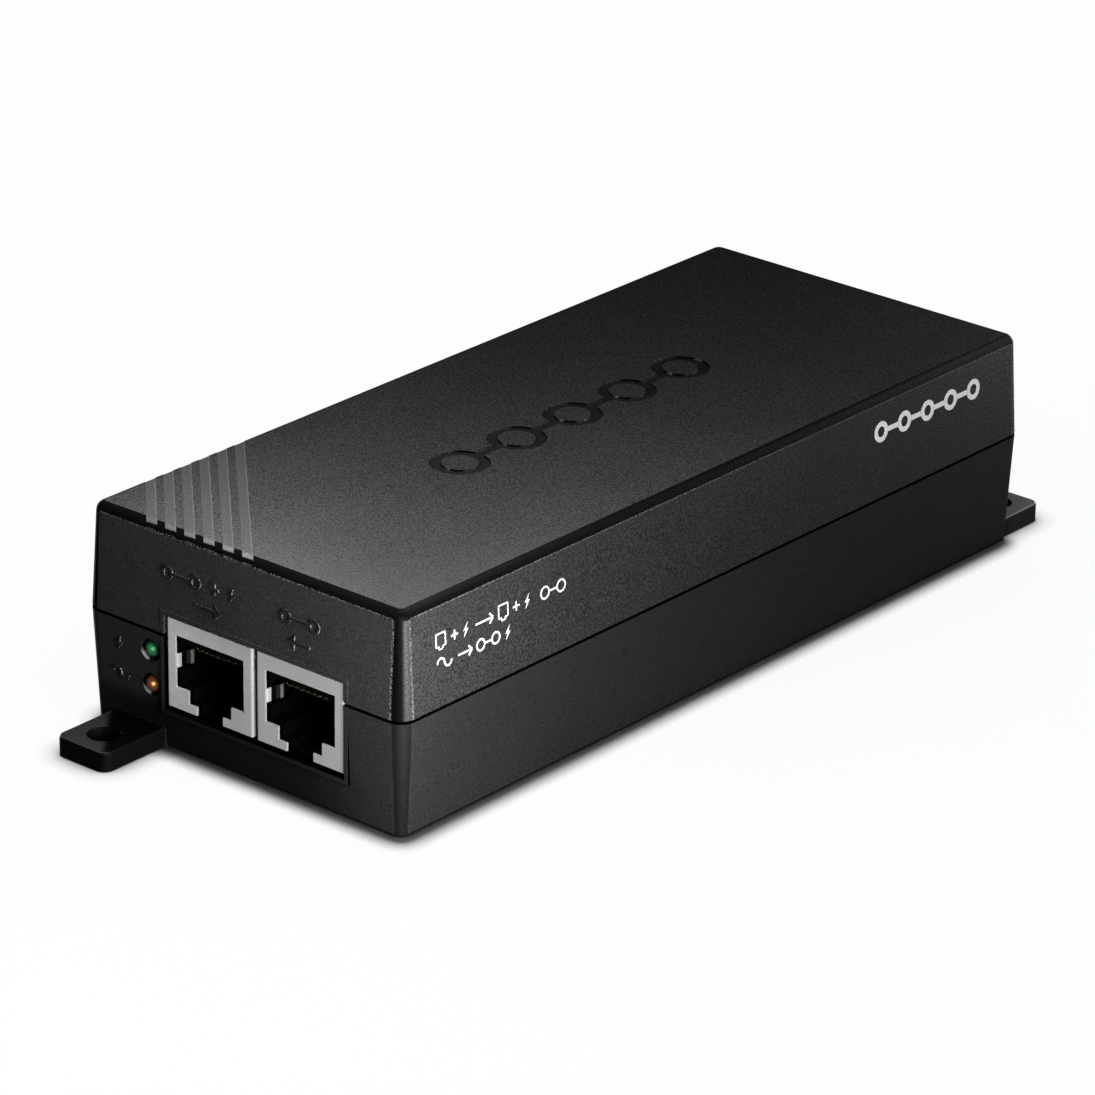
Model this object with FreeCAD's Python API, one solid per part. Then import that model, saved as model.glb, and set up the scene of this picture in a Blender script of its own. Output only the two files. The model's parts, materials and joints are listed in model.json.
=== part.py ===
# Power-over-Ethernet injector: a two-part moulded case with two screw ears, which holds one circuit board
# with a mains inlet, an isolated power supply, two shielded network jacks and two status lamps.
# Millimetres. +Z is up, -Y is the side with the jacks, +Y is the side with the mains inlet.
# The origin is the middle of the case's underside.
import FreeCAD, Part
import math
import os
from FreeCAD import Vector

# ---- Case ----
SEAM_WIDTH = 59.6
SEAM_LENGTH = 140.0
BODY_HEIGHT = 33.4
SEAM_Z = 17.5
SEAM_GAP = 0.4
DRAFT = 0.9
CORNER_R = 2.5
TOP_EDGE_R = 1.4
BOTTOM_EDGE_R = 0.5
WALL = 2.2
FLOOR = 2.0
LIP_HEIGHT = 1.8
LIP_THICKNESS = 1.0
LIP_PLAY = 0.1
FRONT_Y = -SEAM_LENGTH / 2
REAR_Y = SEAM_LENGTH / 2

# ---- Screw ears: (hole centre x, hole centre y, which way the ear points along Y) ----
EARS = [(-20.05, -76.5, -1), (23.2, 73.6, 1)]
EAR_HALF = 4.85
EAR_HEIGHT = 2.9
EAR_HOLE_R = 2.45
EAR_CORNER_R = 1.6
EAR_EDGE_R = 0.3

# ---- Case screws ----
TOWER_X = 23.2
TOWER_Y = 61.0
TOWER_R = 3.6
TOWER_TOP = 8.0
BOSS_R = 3.3
PILOT_R = 1.4
PILOT_TOP = 23.0
HEAD_SEAT = 4.0
HEAD_R = 2.7
HEAD_HEIGHT = 1.9
HEAD_POCKET_R = 2.9
SHANK_R = 1.35
CASE_SHANK = 12.0
BOARD_SHANK = 4.5

# ---- Board ----
BOARD_TOP = 6.9
BOARD_THICKNESS = 1.6
BOARD_BOTTOM = BOARD_TOP - BOARD_THICKNESS
BOARD_HALF_X = 26.3
BOARD_HALF_Y = 66.5
NOTCH_X = 19.3
NOTCH_Y = 57.1
BOARD_SCREWS = [(-22.5, -36.0), (22.5, -36.0), (-22.5, 43.0), (22.5, 43.0)]
STANDOFF_R = 3.0
TAIL_LENGTH = 1.1
HOLE_PLAY = 0.15
SOLDER_R = 0.5
SOLDER_HEIGHT = 0.8

# ---- Network jacks ----
JACK_WIDTH = 16.2
JACK_HEIGHT = 13.4
JACK_DEPTH = 21.4
JACK_PITCH = 16.95
JACK_PAIR_X = 2.375
JACK_X = {"out": JACK_PAIR_X - JACK_PITCH / 2, "in": JACK_PAIR_X + JACK_PITCH / 2}
JACK_FACE_Y = FRONT_Y + 0.3
SHEET = 0.3
MOUTH_HALF = 6.45
MOUTH_TOP = 18.0
MOUTH_BOTTOM = 10.15
STEP_HALF = 4.05
STEP_BOTTOM = 8.15
LATCH_HALF = 2.45

# ---- Window round the jacks ----
WINDOW_SIDE_GAP = 0.3
WINDOW_SILL_GAP = 0.8
BEZEL_BORDER = 0.65
BEZEL_DEPTH = 2.6
PAIR_HALF = (JACK_PITCH + JACK_WIDTH) / 2
WINDOW_X = (JACK_PAIR_X - PAIR_HALF - WINDOW_SIDE_GAP, JACK_PAIR_X + PAIR_HALF + WINDOW_SIDE_GAP)
WINDOW_Z = (BOARD_TOP - WINDOW_SILL_GAP, BOARD_TOP + JACK_HEIGHT + WINDOW_SIDE_GAP)

# ---- Contact springs of a jack ----
CONTACTS = 8
CONTACT_PITCH = 1.016
WIRE = 0.36
HINGE_Y = FRONT_Y + 3.1
HINGE_Z = 16.9
BEND_R = 1.3
SPRING_REACH = 8.3
SPRING_SLOPE = 4.0

# ---- Status lamps ----
LAMP_X = -17.3
LAMP_Z = {"green": 14.4, "amber": 9.05}
LAMP_R = 1.5
LAMP_TIP_Y = FRONT_Y - 0.1
LAMP_HOLE_R = 1.62
LAMP_SINK_R = 2.0
LAMP_BACK_Y = -64.9
LEAD_SPREAD = 1.27

# ---- Mains inlet ----
INLET_HALF_X = 13.7
INLET_HEIGHT = 20.0
INLET_FACE_Y = REAR_Y + 0.4
INLET_BACK_Y = 47.5
INLET_PLAY = 0.2
INLET_MID_Z = BOARD_TOP + INLET_HEIGHT / 2

# ---- Rating label on the underside ----
LABEL_X = 19.0
LABEL_Y = (8.0, 52.0)
LABEL_DEPTH = 0.3
LABEL_THICKNESS = 0.15
LABEL_MARGIN = 0.4

# Round leads that go through the board, as (x, y, radius): each component adds its own.
THROUGH_LEADS = []
# Lead solids of all the components, saved together as one node.
LEAD_SOLIDS = []


# ======== Shape helpers ========

def block(x, y, z):
    """A box from three (low, high) pairs."""
    return Part.makeBox(x[1] - x[0], y[1] - y[0], z[1] - z[0], Vector(x[0], y[0], z[0]))


def rod_x(x, y, z, radius):
    return Part.makeCylinder(radius, x[1] - x[0], Vector(x[0], y, z), Vector(1, 0, 0))


def rod_y(x, y, z, radius):
    return Part.makeCylinder(radius, y[1] - y[0], Vector(x, y[0], z), Vector(0, 1, 0))


def rod_z(x, y, z, radius):
    return Part.makeCylinder(radius, z[1] - z[0], Vector(x, y, z[0]), Vector(0, 0, 1))


def prism(points, along):
    """A prism from a closed polygon of Vectors, swept by the vector along."""
    face = Part.Face(Part.makePolygon(points + [points[0]]))
    return face.extrude(along)


def prism_xz(points, y):
    return prism([Vector(px, y[0], pz) for px, pz in points], Vector(0, y[1] - y[0], 0))


def prism_xy(points, z):
    return prism([Vector(px, py, z[0]) for px, py in points], Vector(0, 0, z[1] - z[0]))


def join(shapes):
    return shapes[0].multiFuse(shapes[1:]).removeSplitter()


def round_edges(shape, radius, chosen):
    """Fillets the edges that the test picks."""
    return shape.makeFillet(radius, [e for e in shape.Edges if chosen(e)])


def all_at_z(z):
    return lambda edge: all(abs(v.Z - z) < 1e-5 for v in edge.Vertexes)


def upright(edge):
    a, b = edge.Vertexes[0], edge.Vertexes[-1]
    return abs(a.X - b.X) < 1e-5 and abs(a.Y - b.Y) < 1e-5 and abs(a.Z - b.Z) > 0.1


def mirrored_corners():
    return [(sx * TOWER_X, sy * TOWER_Y) for sx in (-1, 1) for sy in (-1, 1)]


def save(name, *shapes):
    solids = [solid for shape in shapes for solid in shape.Solids]
    whole = solids[0] if len(solids) == 1 else Part.makeCompound(solids)
    if not whole.isValid() or not solids:
        raise ValueError(f"{name} is not a valid shape")
    whole.exportStep(f"parts/{name}.step")
    print(f"{name}: {len(solids)} solids, {whole.Volume:.1f} mm3")


# ======== Case shells ========

def lean_at(z):
    """How far the drafted wall stands inside the seam's outline at height z."""
    if z <= SEAM_Z:
        return DRAFT * (1 - z / SEAM_Z)
    return DRAFT * (z - SEAM_Z) / (BODY_HEIGHT - SEAM_Z)


def outline(z, inward):
    """A rounded rectangle, inward of the seam's outline by that much."""
    hx = SEAM_WIDTH / 2 - inward
    hy = SEAM_LENGTH / 2 - inward
    r = max(CORNER_R - inward, 0.4)
    c = r * (1 - math.sqrt(0.5))
    edges = []
    for sx, sy in [(1, 1), (-1, 1), (-1, -1), (1, -1)]:
        flat = Vector(sx * hx, sy * (hy - r), z)
        middle = Vector(sx * (hx - c), sy * (hy - c), z)
        end = Vector(sx * (hx - r), sy * hy, z)
        points = [flat, middle, end] if sx * sy > 0 else [end, middle, flat]
        edges.append(Part.Arc(*points).toShape())
    wires = []
    for i, arc in enumerate(edges):
        following = edges[(i + 1) % 4]
        wires += [arc, Part.LineSegment(arc.lastVertex().Point, following.firstVertex().Point).toShape()]
    return Part.Wire(wires)


def drafted(z0, z1, inward):
    """The case's drafted form between two heights, on one side of the seam."""
    ends = [outline(z, lean_at(z) + inward) for z in (z0, z1)]
    return Part.makeLoft(ends, True, True)


def straight(z0, z1, inward):
    face = Part.Face(outline(z0, inward))
    return face.extrude(Vector(0, 0, z1 - z0))


def cover_form(inward):
    """The cover's outer form with its rounded top edge, shrunk by inward."""
    top = BODY_HEIGHT - inward
    form = drafted(SEAM_Z + SEAM_GAP / 2, top, inward)
    return round_edges(form, TOP_EDGE_R - inward, all_at_z(top))


def base_form(inward):
    form = drafted(inward, SEAM_Z - SEAM_GAP / 2, inward)
    return round_edges(form, BOTTOM_EDGE_R - inward, all_at_z(inward))


def window_tool():
    return block(WINDOW_X, (FRONT_Y - 1, FRONT_Y + WALL + 2), WINDOW_Z)


def bezel(z):
    """The upright frame round the jacks, between the heights z. It stands proud of the leaning wall."""
    x = (WINDOW_X[0] - BEZEL_BORDER, WINDOW_X[1] + BEZEL_BORDER)
    return block(x, (FRONT_Y, FRONT_Y + BEZEL_DEPTH), z)


def inlet_tool():
    half = INLET_HALF_X + INLET_PLAY
    return block((-half, half), (REAR_Y - WALL - 2, REAR_Y + 1),
                 (BOARD_TOP - INLET_PLAY, BOARD_TOP + INLET_HEIGHT + INLET_PLAY))


# ---- Raised and sunk pictograms ----
MARK_RISE = 0.25
ROW_HEIGHT = 2.1


def ring_xz(x, z, outer, stroke, y):
    return rod_y(x, y, z, outer).cut(rod_y(x, y, z, outer - stroke))


def arrow_xz(x, z, length, y):
    """An arrow along X. A negative length points it at -X."""
    half, shaft, head = ROW_HEIGHT / 2, 0.25, math.copysign(1.2, length)
    tip = x + length / 2
    tail = x - length / 2
    points = [(tail, z - shaft), (tip - head, z - shaft), (tip - head, z - half), (tip, z),
              (tip - head, z + half), (tip - head, z + shaft), (tail, z + shaft)]
    return prism_xz(points, y)


def bolt_xz(x, z, y):
    """A lightning bolt, one row high."""
    half, wide, waist = ROW_HEIGHT / 2, 0.75, 0.15
    points = [(x + 0.3, z + half), (x - wide, z - waist), (x - waist, z - waist), (x - 0.3, z - half),
              (x + wide, z + waist), (x + waist, z + waist)]
    return prism_xz(points, y)


def plus_xz(x, z, y):
    arm, thick = 0.85, 0.22
    return join([block((x - arm, x + arm), y, (z - thick, z + thick)),
                 block((x - thick, x + thick), y, (z - arm, z + arm))])


def link_xz(x, z, length, y):
    """Two rings joined by a bar: the sign for a data link."""
    outer, stroke = ROW_HEIGHT / 2, 0.45
    left, right = x - length / 2 + outer, x + length / 2 - outer
    half = stroke / 2
    bar = block((left + outer - half, right - outer + half), y, (z - half, z + half))
    return join([ring_xz(left, z, outer, stroke, y), ring_xz(right, z, outer, stroke, y), bar])


def wave_xz(x, z, y):
    """One turn of a sine wave: the sign for alternating current."""
    outer, stroke = 0.95, 0.42
    middle = outer - stroke / 2
    crest = ring_xz(x - middle, z, outer, stroke, y).common(block((x - 3, x + 3), y, (z, z + 3)))
    trough = ring_xz(x + middle, z, outer, stroke, y).common(block((x - 3, x + 3), y, (z - 3, z)))
    return join([crest, trough])


def cover_marks():
    """The raised signs over the two jacks: data and power out, data in."""
    y = (FRONT_Y - 1, FRONT_Y + 1.6)
    upper, lower = 27.0, 23.7
    out_x, in_x = JACK_X["out"], JACK_X["in"]
    link = 7.4
    marks = [link_xz(out_x - 5.2, upper, link, y), plus_xz(out_x + 1.0, upper, y)]
    marks += [bolt_xz(out_x + 4.2, upper, y), arrow_xz(out_x, lower, 5.0, y)]
    marks += [link_xz(in_x, upper, link, y), arrow_xz(in_x, lower, -4.0, y)]
    return [mark.common(cover_form(-MARK_RISE)) for mark in marks]


def base_marks():
    """The raised signs beside the two lamps: power on the cable, mains present."""
    y = (FRONT_Y - 1, FRONT_Y + 1.6)
    sign_x = -23.2
    marks = [bolt_xz(sign_x, LAMP_Z["green"] - 0.7, y), wave_xz(sign_x, LAMP_Z["amber"], y)]
    return [mark.common(base_form(-MARK_RISE)) for mark in marks]


def sunk_chain():
    """The sunk mark on top: a row of rings joined by bars."""
    outer, stroke, depth, spacing, count = 4.4, 1.7, 0.35, 12.3, 5
    z = (BODY_HEIGHT - depth, BODY_HEIGHT + 1)
    centres = [(i - (count - 1) / 2) * spacing for i in range(count)]
    rings = [rod_z(0, y, z, outer).cut(rod_z(0, y, z, outer - stroke)) for y in centres]
    bars = [block((-stroke / 2, stroke / 2), (y + outer - 0.3, y + spacing - outer + 0.3), z)
            for y in centres[:-1]]
    return join(rings + bars)


def corner_stripes():
    """Shallow slanted bands across the top's front left corner, run over its rounded edges."""
    count, pitch, width, depth, drop = 6, 3.63, 1.95, 0.06, 1.0
    # The first band's left side crosses the top's front edge at this x.
    first_x = -18.35
    skin = cover_form(depth)
    front = FRONT_Y - 1
    bands = []
    for i in range(count):
        x = first_x + i * pitch + (FRONT_Y + DRAFT - front)
        reach = SEAM_WIDTH / 2 + x + width + 2
        points = [(x, front), (x + width, front)]
        points += [(px - reach, py + reach) for px, py in reversed(points)]
        bands.append(prism_xy(points, (BODY_HEIGHT - drop, BODY_HEIGHT + 1)).cut(skin))
    return bands


def top_cover():
    seam = SEAM_Z + SEAM_GAP / 2
    skirt = WALL - LIP_THICKNESS - LIP_PLAY
    cover = cover_form(0)
    cover = cover.cut(drafted(SEAM_Z, BODY_HEIGHT - FLOOR, WALL))
    cover = cover.fuse(bezel((seam, WINDOW_Z[1] + BEZEL_BORDER)))
    cover = cover.cut(straight(SEAM_Z - 1, SEAM_Z + LIP_HEIGHT + LIP_PLAY, skirt))
    cover = cover.cut(window_tool()).cut(inlet_tool())
    bosses = [rod_z(x, y, (TOWER_TOP, BODY_HEIGHT - FLOOR + 0.5), BOSS_R) for x, y in mirrored_corners()]
    pilots = [rod_z(x, y, (TOWER_TOP - 1, PILOT_TOP), PILOT_R) for x, y in mirrored_corners()]
    cover = join([cover] + bosses + cover_marks())
    for tool in pilots + [sunk_chain()] + corner_stripes():
        cover = cover.cut(tool)
    return cover


def ear(hole_x, hole_y, way):
    """A flat screw ear that grows out of the base's end wall."""
    tip = hole_y + way * EAR_HALF
    root = way * (SEAM_LENGTH / 2 - WALL)
    y = (min(tip, root), max(tip, root))
    plate = block((hole_x - EAR_HALF, hole_x + EAR_HALF), y, (0, EAR_HEIGHT))

    def outer_corner(edge):
        return upright(edge) and abs(edge.Vertexes[0].Y - tip) < 1e-5
    plate = round_edges(plate, EAR_CORNER_R, outer_corner)
    plate = round_edges(plate, EAR_EDGE_R, all_at_z(EAR_HEIGHT))
    return plate


def lamp_hole(z):
    """A round hole with a countersunk rim in the leaning front wall."""
    rim_y = FRONT_Y + lean_at(z)
    sink = Part.makeCone(LAMP_SINK_R, LAMP_HOLE_R, 0.5, Vector(LAMP_X, rim_y - 0.05, z), Vector(0, 1, 0))
    return rod_y(LAMP_X, (FRONT_Y - 1, FRONT_Y + WALL + 2), z, LAMP_HOLE_R).fuse(sink)


def bottom_base():
    seam = SEAM_Z - SEAM_GAP / 2
    base = base_form(0)
    base = base.cut(drafted(FLOOR, SEAM_Z, WALL))
    lip = straight(seam - 0.5, SEAM_Z + LIP_HEIGHT, WALL - LIP_THICKNESS)
    lip = lip.cut(straight(seam - 1, SEAM_Z + LIP_HEIGHT + 1, WALL))
    towers = [rod_z(x, y, (FLOOR / 2, TOWER_TOP), TOWER_R) for x, y in mirrored_corners()]
    standoffs = [rod_z(x, y, (FLOOR / 2, BOARD_BOTTOM), STANDOFF_R) for x, y in BOARD_SCREWS]
    frame = bezel((WINDOW_Z[0] - BEZEL_BORDER, seam))
    base = join([base, lip, frame] + towers + standoffs + base_marks() + [ear(*e) for e in EARS])
    tools = [window_tool(), inlet_tool()]
    tools += [lamp_hole(z) for z in LAMP_Z.values()]
    tools += [rod_z(x, y, (-1, EAR_HEIGHT + 1), EAR_HOLE_R) for x, y, _ in EARS]
    for x, y in mirrored_corners():
        tools.append(rod_z(x, y, (-1, HEAD_SEAT), HEAD_POCKET_R))
        tools.append(rod_z(x, y, (0, TOWER_TOP + 1), PILOT_R + 0.2))
    tools += [rod_z(x, y, (FLOOR, BOARD_BOTTOM + 1), PILOT_R) for x, y in BOARD_SCREWS]
    tools.append(block((-LABEL_X, LABEL_X), LABEL_Y, (-1, LABEL_DEPTH)))
    for tool in tools:
        base = base.cut(tool)
    return base


def rating_label():
    """A blank rating label, stuck in its recess."""
    x = LABEL_X - LABEL_MARGIN
    y = (LABEL_Y[0] + LABEL_MARGIN, LABEL_Y[1] - LABEL_MARGIN)
    sheet = block((-x, x), y, (LABEL_DEPTH - LABEL_THICKNESS, LABEL_DEPTH))
    return round_edges(sheet, 1.0, upright)


def pan_screw(x, y, seat, way, shank):
    """A cross-headed screw whose head rests on the height seat. way is 1 when its head is above."""
    cross_depth, cross_half, blade_half = 1.1, 1.6, 0.4
    head_end = seat + way * HEAD_HEIGHT
    shank_end = seat - way * shank
    head = rod_z(x, y, (min(seat, head_end), max(seat, head_end)), HEAD_R)
    head = round_edges(head, 0.8, all_at_z(head_end))
    body = rod_z(x, y, (min(seat, shank_end), max(seat, shank_end)), SHANK_R)
    body = body.makeChamfer(0.5, [e for e in body.Edges if all_at_z(shank_end)(e)])
    cross_end = head_end - way * cross_depth
    z = (min(head_end, cross_end), max(head_end, cross_end))
    slot = block((x - cross_half, x + cross_half), (y - blade_half, y + blade_half), z)
    other = block((x - blade_half, x + blade_half), (y - cross_half, y + cross_half), z)
    return head.fuse(body).removeSplitter().cut(slot.fuse(other))


# ======== Network jacks ========

def mouth_outline(x, inset, top, bottom):
    """The stepped outline of a plug's opening, shrunk by inset and open down to bottom."""
    main, step, latch = MOUTH_HALF - inset, STEP_HALF - inset, LATCH_HALF - inset
    low, mid = MOUTH_BOTTOM + inset / 2, STEP_BOTTOM + inset / 2
    right = [(main, top), (main, low), (step, low), (step, mid), (latch, mid), (latch, bottom)]
    left = [(-px, pz) for px, pz in reversed(right)]
    return [(x + px, pz) for px, pz in right + left]


FINGER_THICKNESS = 0.2
FINGER_Z = (13.05, 15.1)
# The finger's inner face, as (depth behind the front plate, how far it stands in from the mouth's side).
FINGER_CURVE = [(0, 0), (0.1, 0.16), (0.3, 0.26), (0.6, 0.3), (1.9, 0.3)]
FINGER_CURVE += [(2.4, 0.72), (2.8, 0.75), (3.9, 0.25)]


def grounding_finger(x, side):
    """A strip folded back from the mouth's side, which bows inwards to touch the plug's shield."""
    wall_x = x + side * MOUTH_HALF
    inner = [(wall_x - side * bow, JACK_FACE_Y + depth) for depth, bow in FINGER_CURVE]
    outer = [(px + side * FINGER_THICKNESS, py) for px, py in reversed(inner)]
    return prism_xy(inner + outer, FINGER_Z)


def jack_shield(name):
    """The folded sheet-metal can of a jack: front plate, roof, sides and back, with board tabs."""
    x = JACK_X[name]
    half = JACK_WIDTH / 2
    y = (JACK_FACE_Y, JACK_FACE_Y + JACK_DEPTH)
    z = (BOARD_TOP, BOARD_TOP + JACK_HEIGHT)
    can = block((x - half, x + half), y, z)
    can = round_edges(can, 0.35, upright)
    hollow = block((x - half + SHEET, x + half - SHEET), (y[0] + SHEET, y[1] - SHEET),
                   (z[0] - 1, z[1] - SHEET))
    can = can.cut(hollow)
    mouth = prism_xz(mouth_outline(x, 0, MOUTH_TOP, z[0] - 1), (y[0] - 1, y[0] + SHEET + 0.1))
    can = can.cut(mouth)
    fingers = [grounding_finger(x, side) for side in (-1, 1)]
    tab_y, tab_width = y[0] + 9.0, 1.5
    tabs = []
    for side in (-1, 1):
        edge = sorted((x + side * half, x + side * (half - SHEET)))
        tabs.append(block(edge, (tab_y, tab_y + tab_width), (BOARD_BOTTOM - TAIL_LENGTH, z[0] + 0.5)))
    return join([can] + fingers + tabs)


def shield_tab_slots():
    """Slots in the board for the jack shields' tabs."""
    slots = []
    play = HOLE_PLAY
    tab_y = JACK_FACE_Y + 9.0
    for x in JACK_X.values():
        for side in (-1, 1):
            edge = sorted((x + side * JACK_WIDTH / 2, x + side * (JACK_WIDTH / 2 - SHEET)))
            slots.append(block((edge[0] - play, edge[1] + play), (tab_y - play, tab_y + 1.5 + play),
                               (BOARD_BOTTOM - 1, BOARD_TOP + 1)))
    return slots


def contact_xs(name):
    return [JACK_X[name] + (i - (CONTACTS - 1) / 2) * CONTACT_PITCH for i in range(CONTACTS)]


INSERT_FACE_Y = JACK_FACE_Y + 0.75
CAVITY_TOP = 16.8
INSERT_BACK_Y = JACK_FACE_Y + JACK_DEPTH - 0.6
PLUG_STOP_Y = INSERT_FACE_Y + 12.5
LEAD_Z = HINGE_Z + BEND_R
BEND_FRONT_Y = HINGE_Y - BEND_R - WIRE / 2 - 0.12


def jack_insert(name):
    """The black moulding inside the shield: the plug's cavity, contact slots and finger pockets."""
    x = JACK_X[name]
    half = JACK_WIDTH / 2 - SHEET - 0.1
    wide = (x - half, x + half)
    front = INSERT_FACE_Y - 1
    body = block(wide, (INSERT_FACE_Y, INSERT_BACK_Y), (BOARD_TOP, BOARD_TOP + JACK_HEIGHT - 0.4))
    cavity = prism_xz(mouth_outline(x, 0.5, CAVITY_TOP, BOARD_TOP + 0.4), (front, PLUG_STOP_Y))
    pocket_z = (FINGER_Z[0] - 0.45, FINGER_Z[1] + 1.1)
    pockets = [block(sorted((x + side * 5.5, x + side * 7.1)), (front, INSERT_FACE_Y + 4.6), pocket_z)
               for side in (-1, 1)]
    bay_half = CONTACTS * CONTACT_PITCH / 2 + 0.1
    bay = block((x - bay_half, x + bay_half), (BEND_FRONT_Y, PLUG_STOP_Y - 1.2), (CAVITY_TOP - 0.5, 19.0))
    lead_slots = [block((cx - WIRE / 2 - 0.05, cx + WIRE / 2 + 0.05), (HINGE_Y, INSERT_BACK_Y + 1),
                        (BOARD_TOP - 1, LEAD_Z + 0.3)) for cx in contact_xs(name)]
    back_wall = block(wide, (PLUG_STOP_Y, INSERT_BACK_Y - 1.4), (BOARD_TOP - 1, CAVITY_TOP))
    below_bay = block(wide, (HINGE_Y - 1, PLUG_STOP_Y), (0, CAVITY_TOP))
    lead_slots = [slot.cut(back_wall).cut(below_bay) for slot in lead_slots]
    body = body.cut(join([cavity] + pockets + [bay]))
    for slot in lead_slots:
        body = body.cut(slot)
    rib_half, rib_top = 0.17, 19.1
    ribs = []
    for cx in contact_xs(name)[:-1]:
        rib_x = (cx + CONTACT_PITCH / 2 - rib_half, cx + CONTACT_PITCH / 2 + rib_half)
        ribs.append(block(rib_x, (BEND_FRONT_Y - 0.05, HINGE_Y + 1.6), (16.3, rib_top)))
        ribs.append(block(rib_x, (HINGE_Y + 6.4, PLUG_STOP_Y - 1.1), (15.4, rib_top)))
    return join([body] + ribs)


def contact_lead(cx):
    """The fixed part of a contact: along the roof of the insert, then down its back to the board."""
    wide, thick = (cx - WIRE / 2, cx + WIRE / 2), WIRE
    back = INSERT_BACK_Y
    along = block(wide, (HINGE_Y + 0.1, back), (LEAD_Z - thick / 2, LEAD_Z + thick / 2))
    down = block(wide, (back - thick, back), (BOARD_BOTTOM - TAIL_LENGTH, LEAD_Z + thick / 2))
    return join([along, down])


def contact_spring(cx):
    """The free part of a contact: a half-turn bend at the front and an arm that slopes down and back."""
    x = (cx - WIRE / 2, cx + WIRE / 2)
    wider = (x[0] - 1, x[1] + 1)
    outer, inner = BEND_R + WIRE / 2, BEND_R - WIRE / 2
    bend = rod_x(x, HINGE_Y, HINGE_Z, outer).cut(rod_x(wider, HINGE_Y, HINGE_Z, inner))
    bend = bend.cut(block(wider, (HINGE_Y - 0.12, HINGE_Y + 2), (HINGE_Z - 2, HINGE_Z + 2)))
    arm = block(x, (HINGE_Y - 0.2, HINGE_Y + SPRING_REACH), (HINGE_Z - outer, HINGE_Z - inner))
    arm.rotate(Vector(0, HINGE_Y, HINGE_Z), Vector(1, 0, 0), -SPRING_SLOPE)
    return join([bend, arm])


# ======== Status lamps ========

def lamp(z):
    """A 3 mm lamp: dome, barrel and a flange at its back."""
    flange_y = LAMP_BACK_Y - 1.0
    barrel = rod_y(LAMP_X, (LAMP_TIP_Y + LAMP_R, flange_y), z, LAMP_R)
    dome = Part.makeSphere(LAMP_R, Vector(LAMP_X, LAMP_TIP_Y + LAMP_R, z), Vector(0, -1, 0), 0, 90, 360)
    flange = rod_y(LAMP_X, (flange_y, LAMP_BACK_Y), z, LAMP_R + 0.35)
    return join([barrel, dome, flange])


def lamp_leads():
    """Two square leads for each lamp, which run back through the holder and turn down to the board."""
    side = 0.5
    turn_y = {"amber": -60.4, "green": -58.6}
    leads = []
    for colour, z in LAMP_Z.items():
        for lead_x in (LAMP_X - LEAD_SPREAD, LAMP_X + LEAD_SPREAD):
            x = (lead_x - side / 2, lead_x + side / 2)
            y = turn_y[colour]
            along = block(x, (LAMP_BACK_Y, y + side / 2), (z - side / 2, z + side / 2))
            down = block(x, (y - side / 2, y + side / 2), (BOARD_BOTTOM - TAIL_LENGTH, z + side / 2))
            leads.append(join([along, down]))
            THROUGH_LEADS.append((lead_x, y, side * 0.75))
    return leads


def lamp_holder():
    """A black block on the board that carries both lamps at their heights."""
    half, depth, slot = 1.9, 3.2, 0.3
    top = LAMP_Z["green"] + 2.0
    body = block((LAMP_X - half, LAMP_X + half), (LAMP_BACK_Y, LAMP_BACK_Y + depth), (BOARD_TOP, top))
    y = (LAMP_BACK_Y - 1, LAMP_BACK_Y + depth + 1)
    for z in LAMP_Z.values():
        for lead_x in (LAMP_X - LEAD_SPREAD, LAMP_X + LEAD_SPREAD):
            body = body.cut(block((lead_x - slot, lead_x + slot), y, (z - slot, z + slot)))
    return body


# ======== Mains inlet ========

PIN_DEPTH = 16.0
PIN_HALF_X = 1.0
PIN_HALF_Z = 2.0
PINS = [(-7.0, INLET_MID_Z - 2.0), (0.0, INLET_MID_Z + 2.0), (7.0, INLET_MID_Z - 2.0)]


def chamfered_outline(half_x, half_z, bevel):
    """A rectangle with its two upper corners cut at 45 degrees, round the inlet's middle."""
    z = INLET_MID_Z
    return [(-half_x, z - half_z), (half_x, z - half_z), (half_x, z + half_z - bevel),
            (half_x - bevel, z + half_z), (-half_x + bevel, z + half_z), (-half_x, z + half_z - bevel)]


def inlet_housing():
    z = (BOARD_TOP, BOARD_TOP + INLET_HEIGHT)
    body = block((-INLET_HALF_X, INLET_HALF_X), (INLET_BACK_Y, INLET_FACE_Y), z)
    body = round_edges(body, 1.0, lambda e: abs(e.Length - (INLET_FACE_Y - INLET_BACK_Y)) < 1e-5
                       and e.Vertexes[0].Z > INLET_MID_Z)
    collar = block((-INLET_HALF_X - 1.4, INLET_HALF_X + 1.4), (65.2, 66.7), (z[0], z[1] + 1.4))
    body = body.fuse(collar).removeSplitter()
    cavity = prism_xz(chamfered_outline(12.2, 8.2, 4.6), (INLET_FACE_Y - PIN_DEPTH, INLET_FACE_Y + 1))
    body = body.cut(cavity)
    rim = prism_xz(chamfered_outline(12.7, 8.7, 4.8), (INLET_FACE_Y - 0.5, INLET_FACE_Y + 1))
    body = body.cut(rim)
    slot_x, slot_z = PIN_HALF_X + 0.05, PIN_HALF_Z + 0.05
    y = (INLET_BACK_Y - 1, INLET_FACE_Y - PIN_DEPTH + 1)
    for pin_x, pin_z in PINS:
        slot = block((pin_x - slot_x, pin_x + slot_x), y, (pin_z - slot_z, pin_z + slot_z))
        body = body.cut(slot)
    return body


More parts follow.
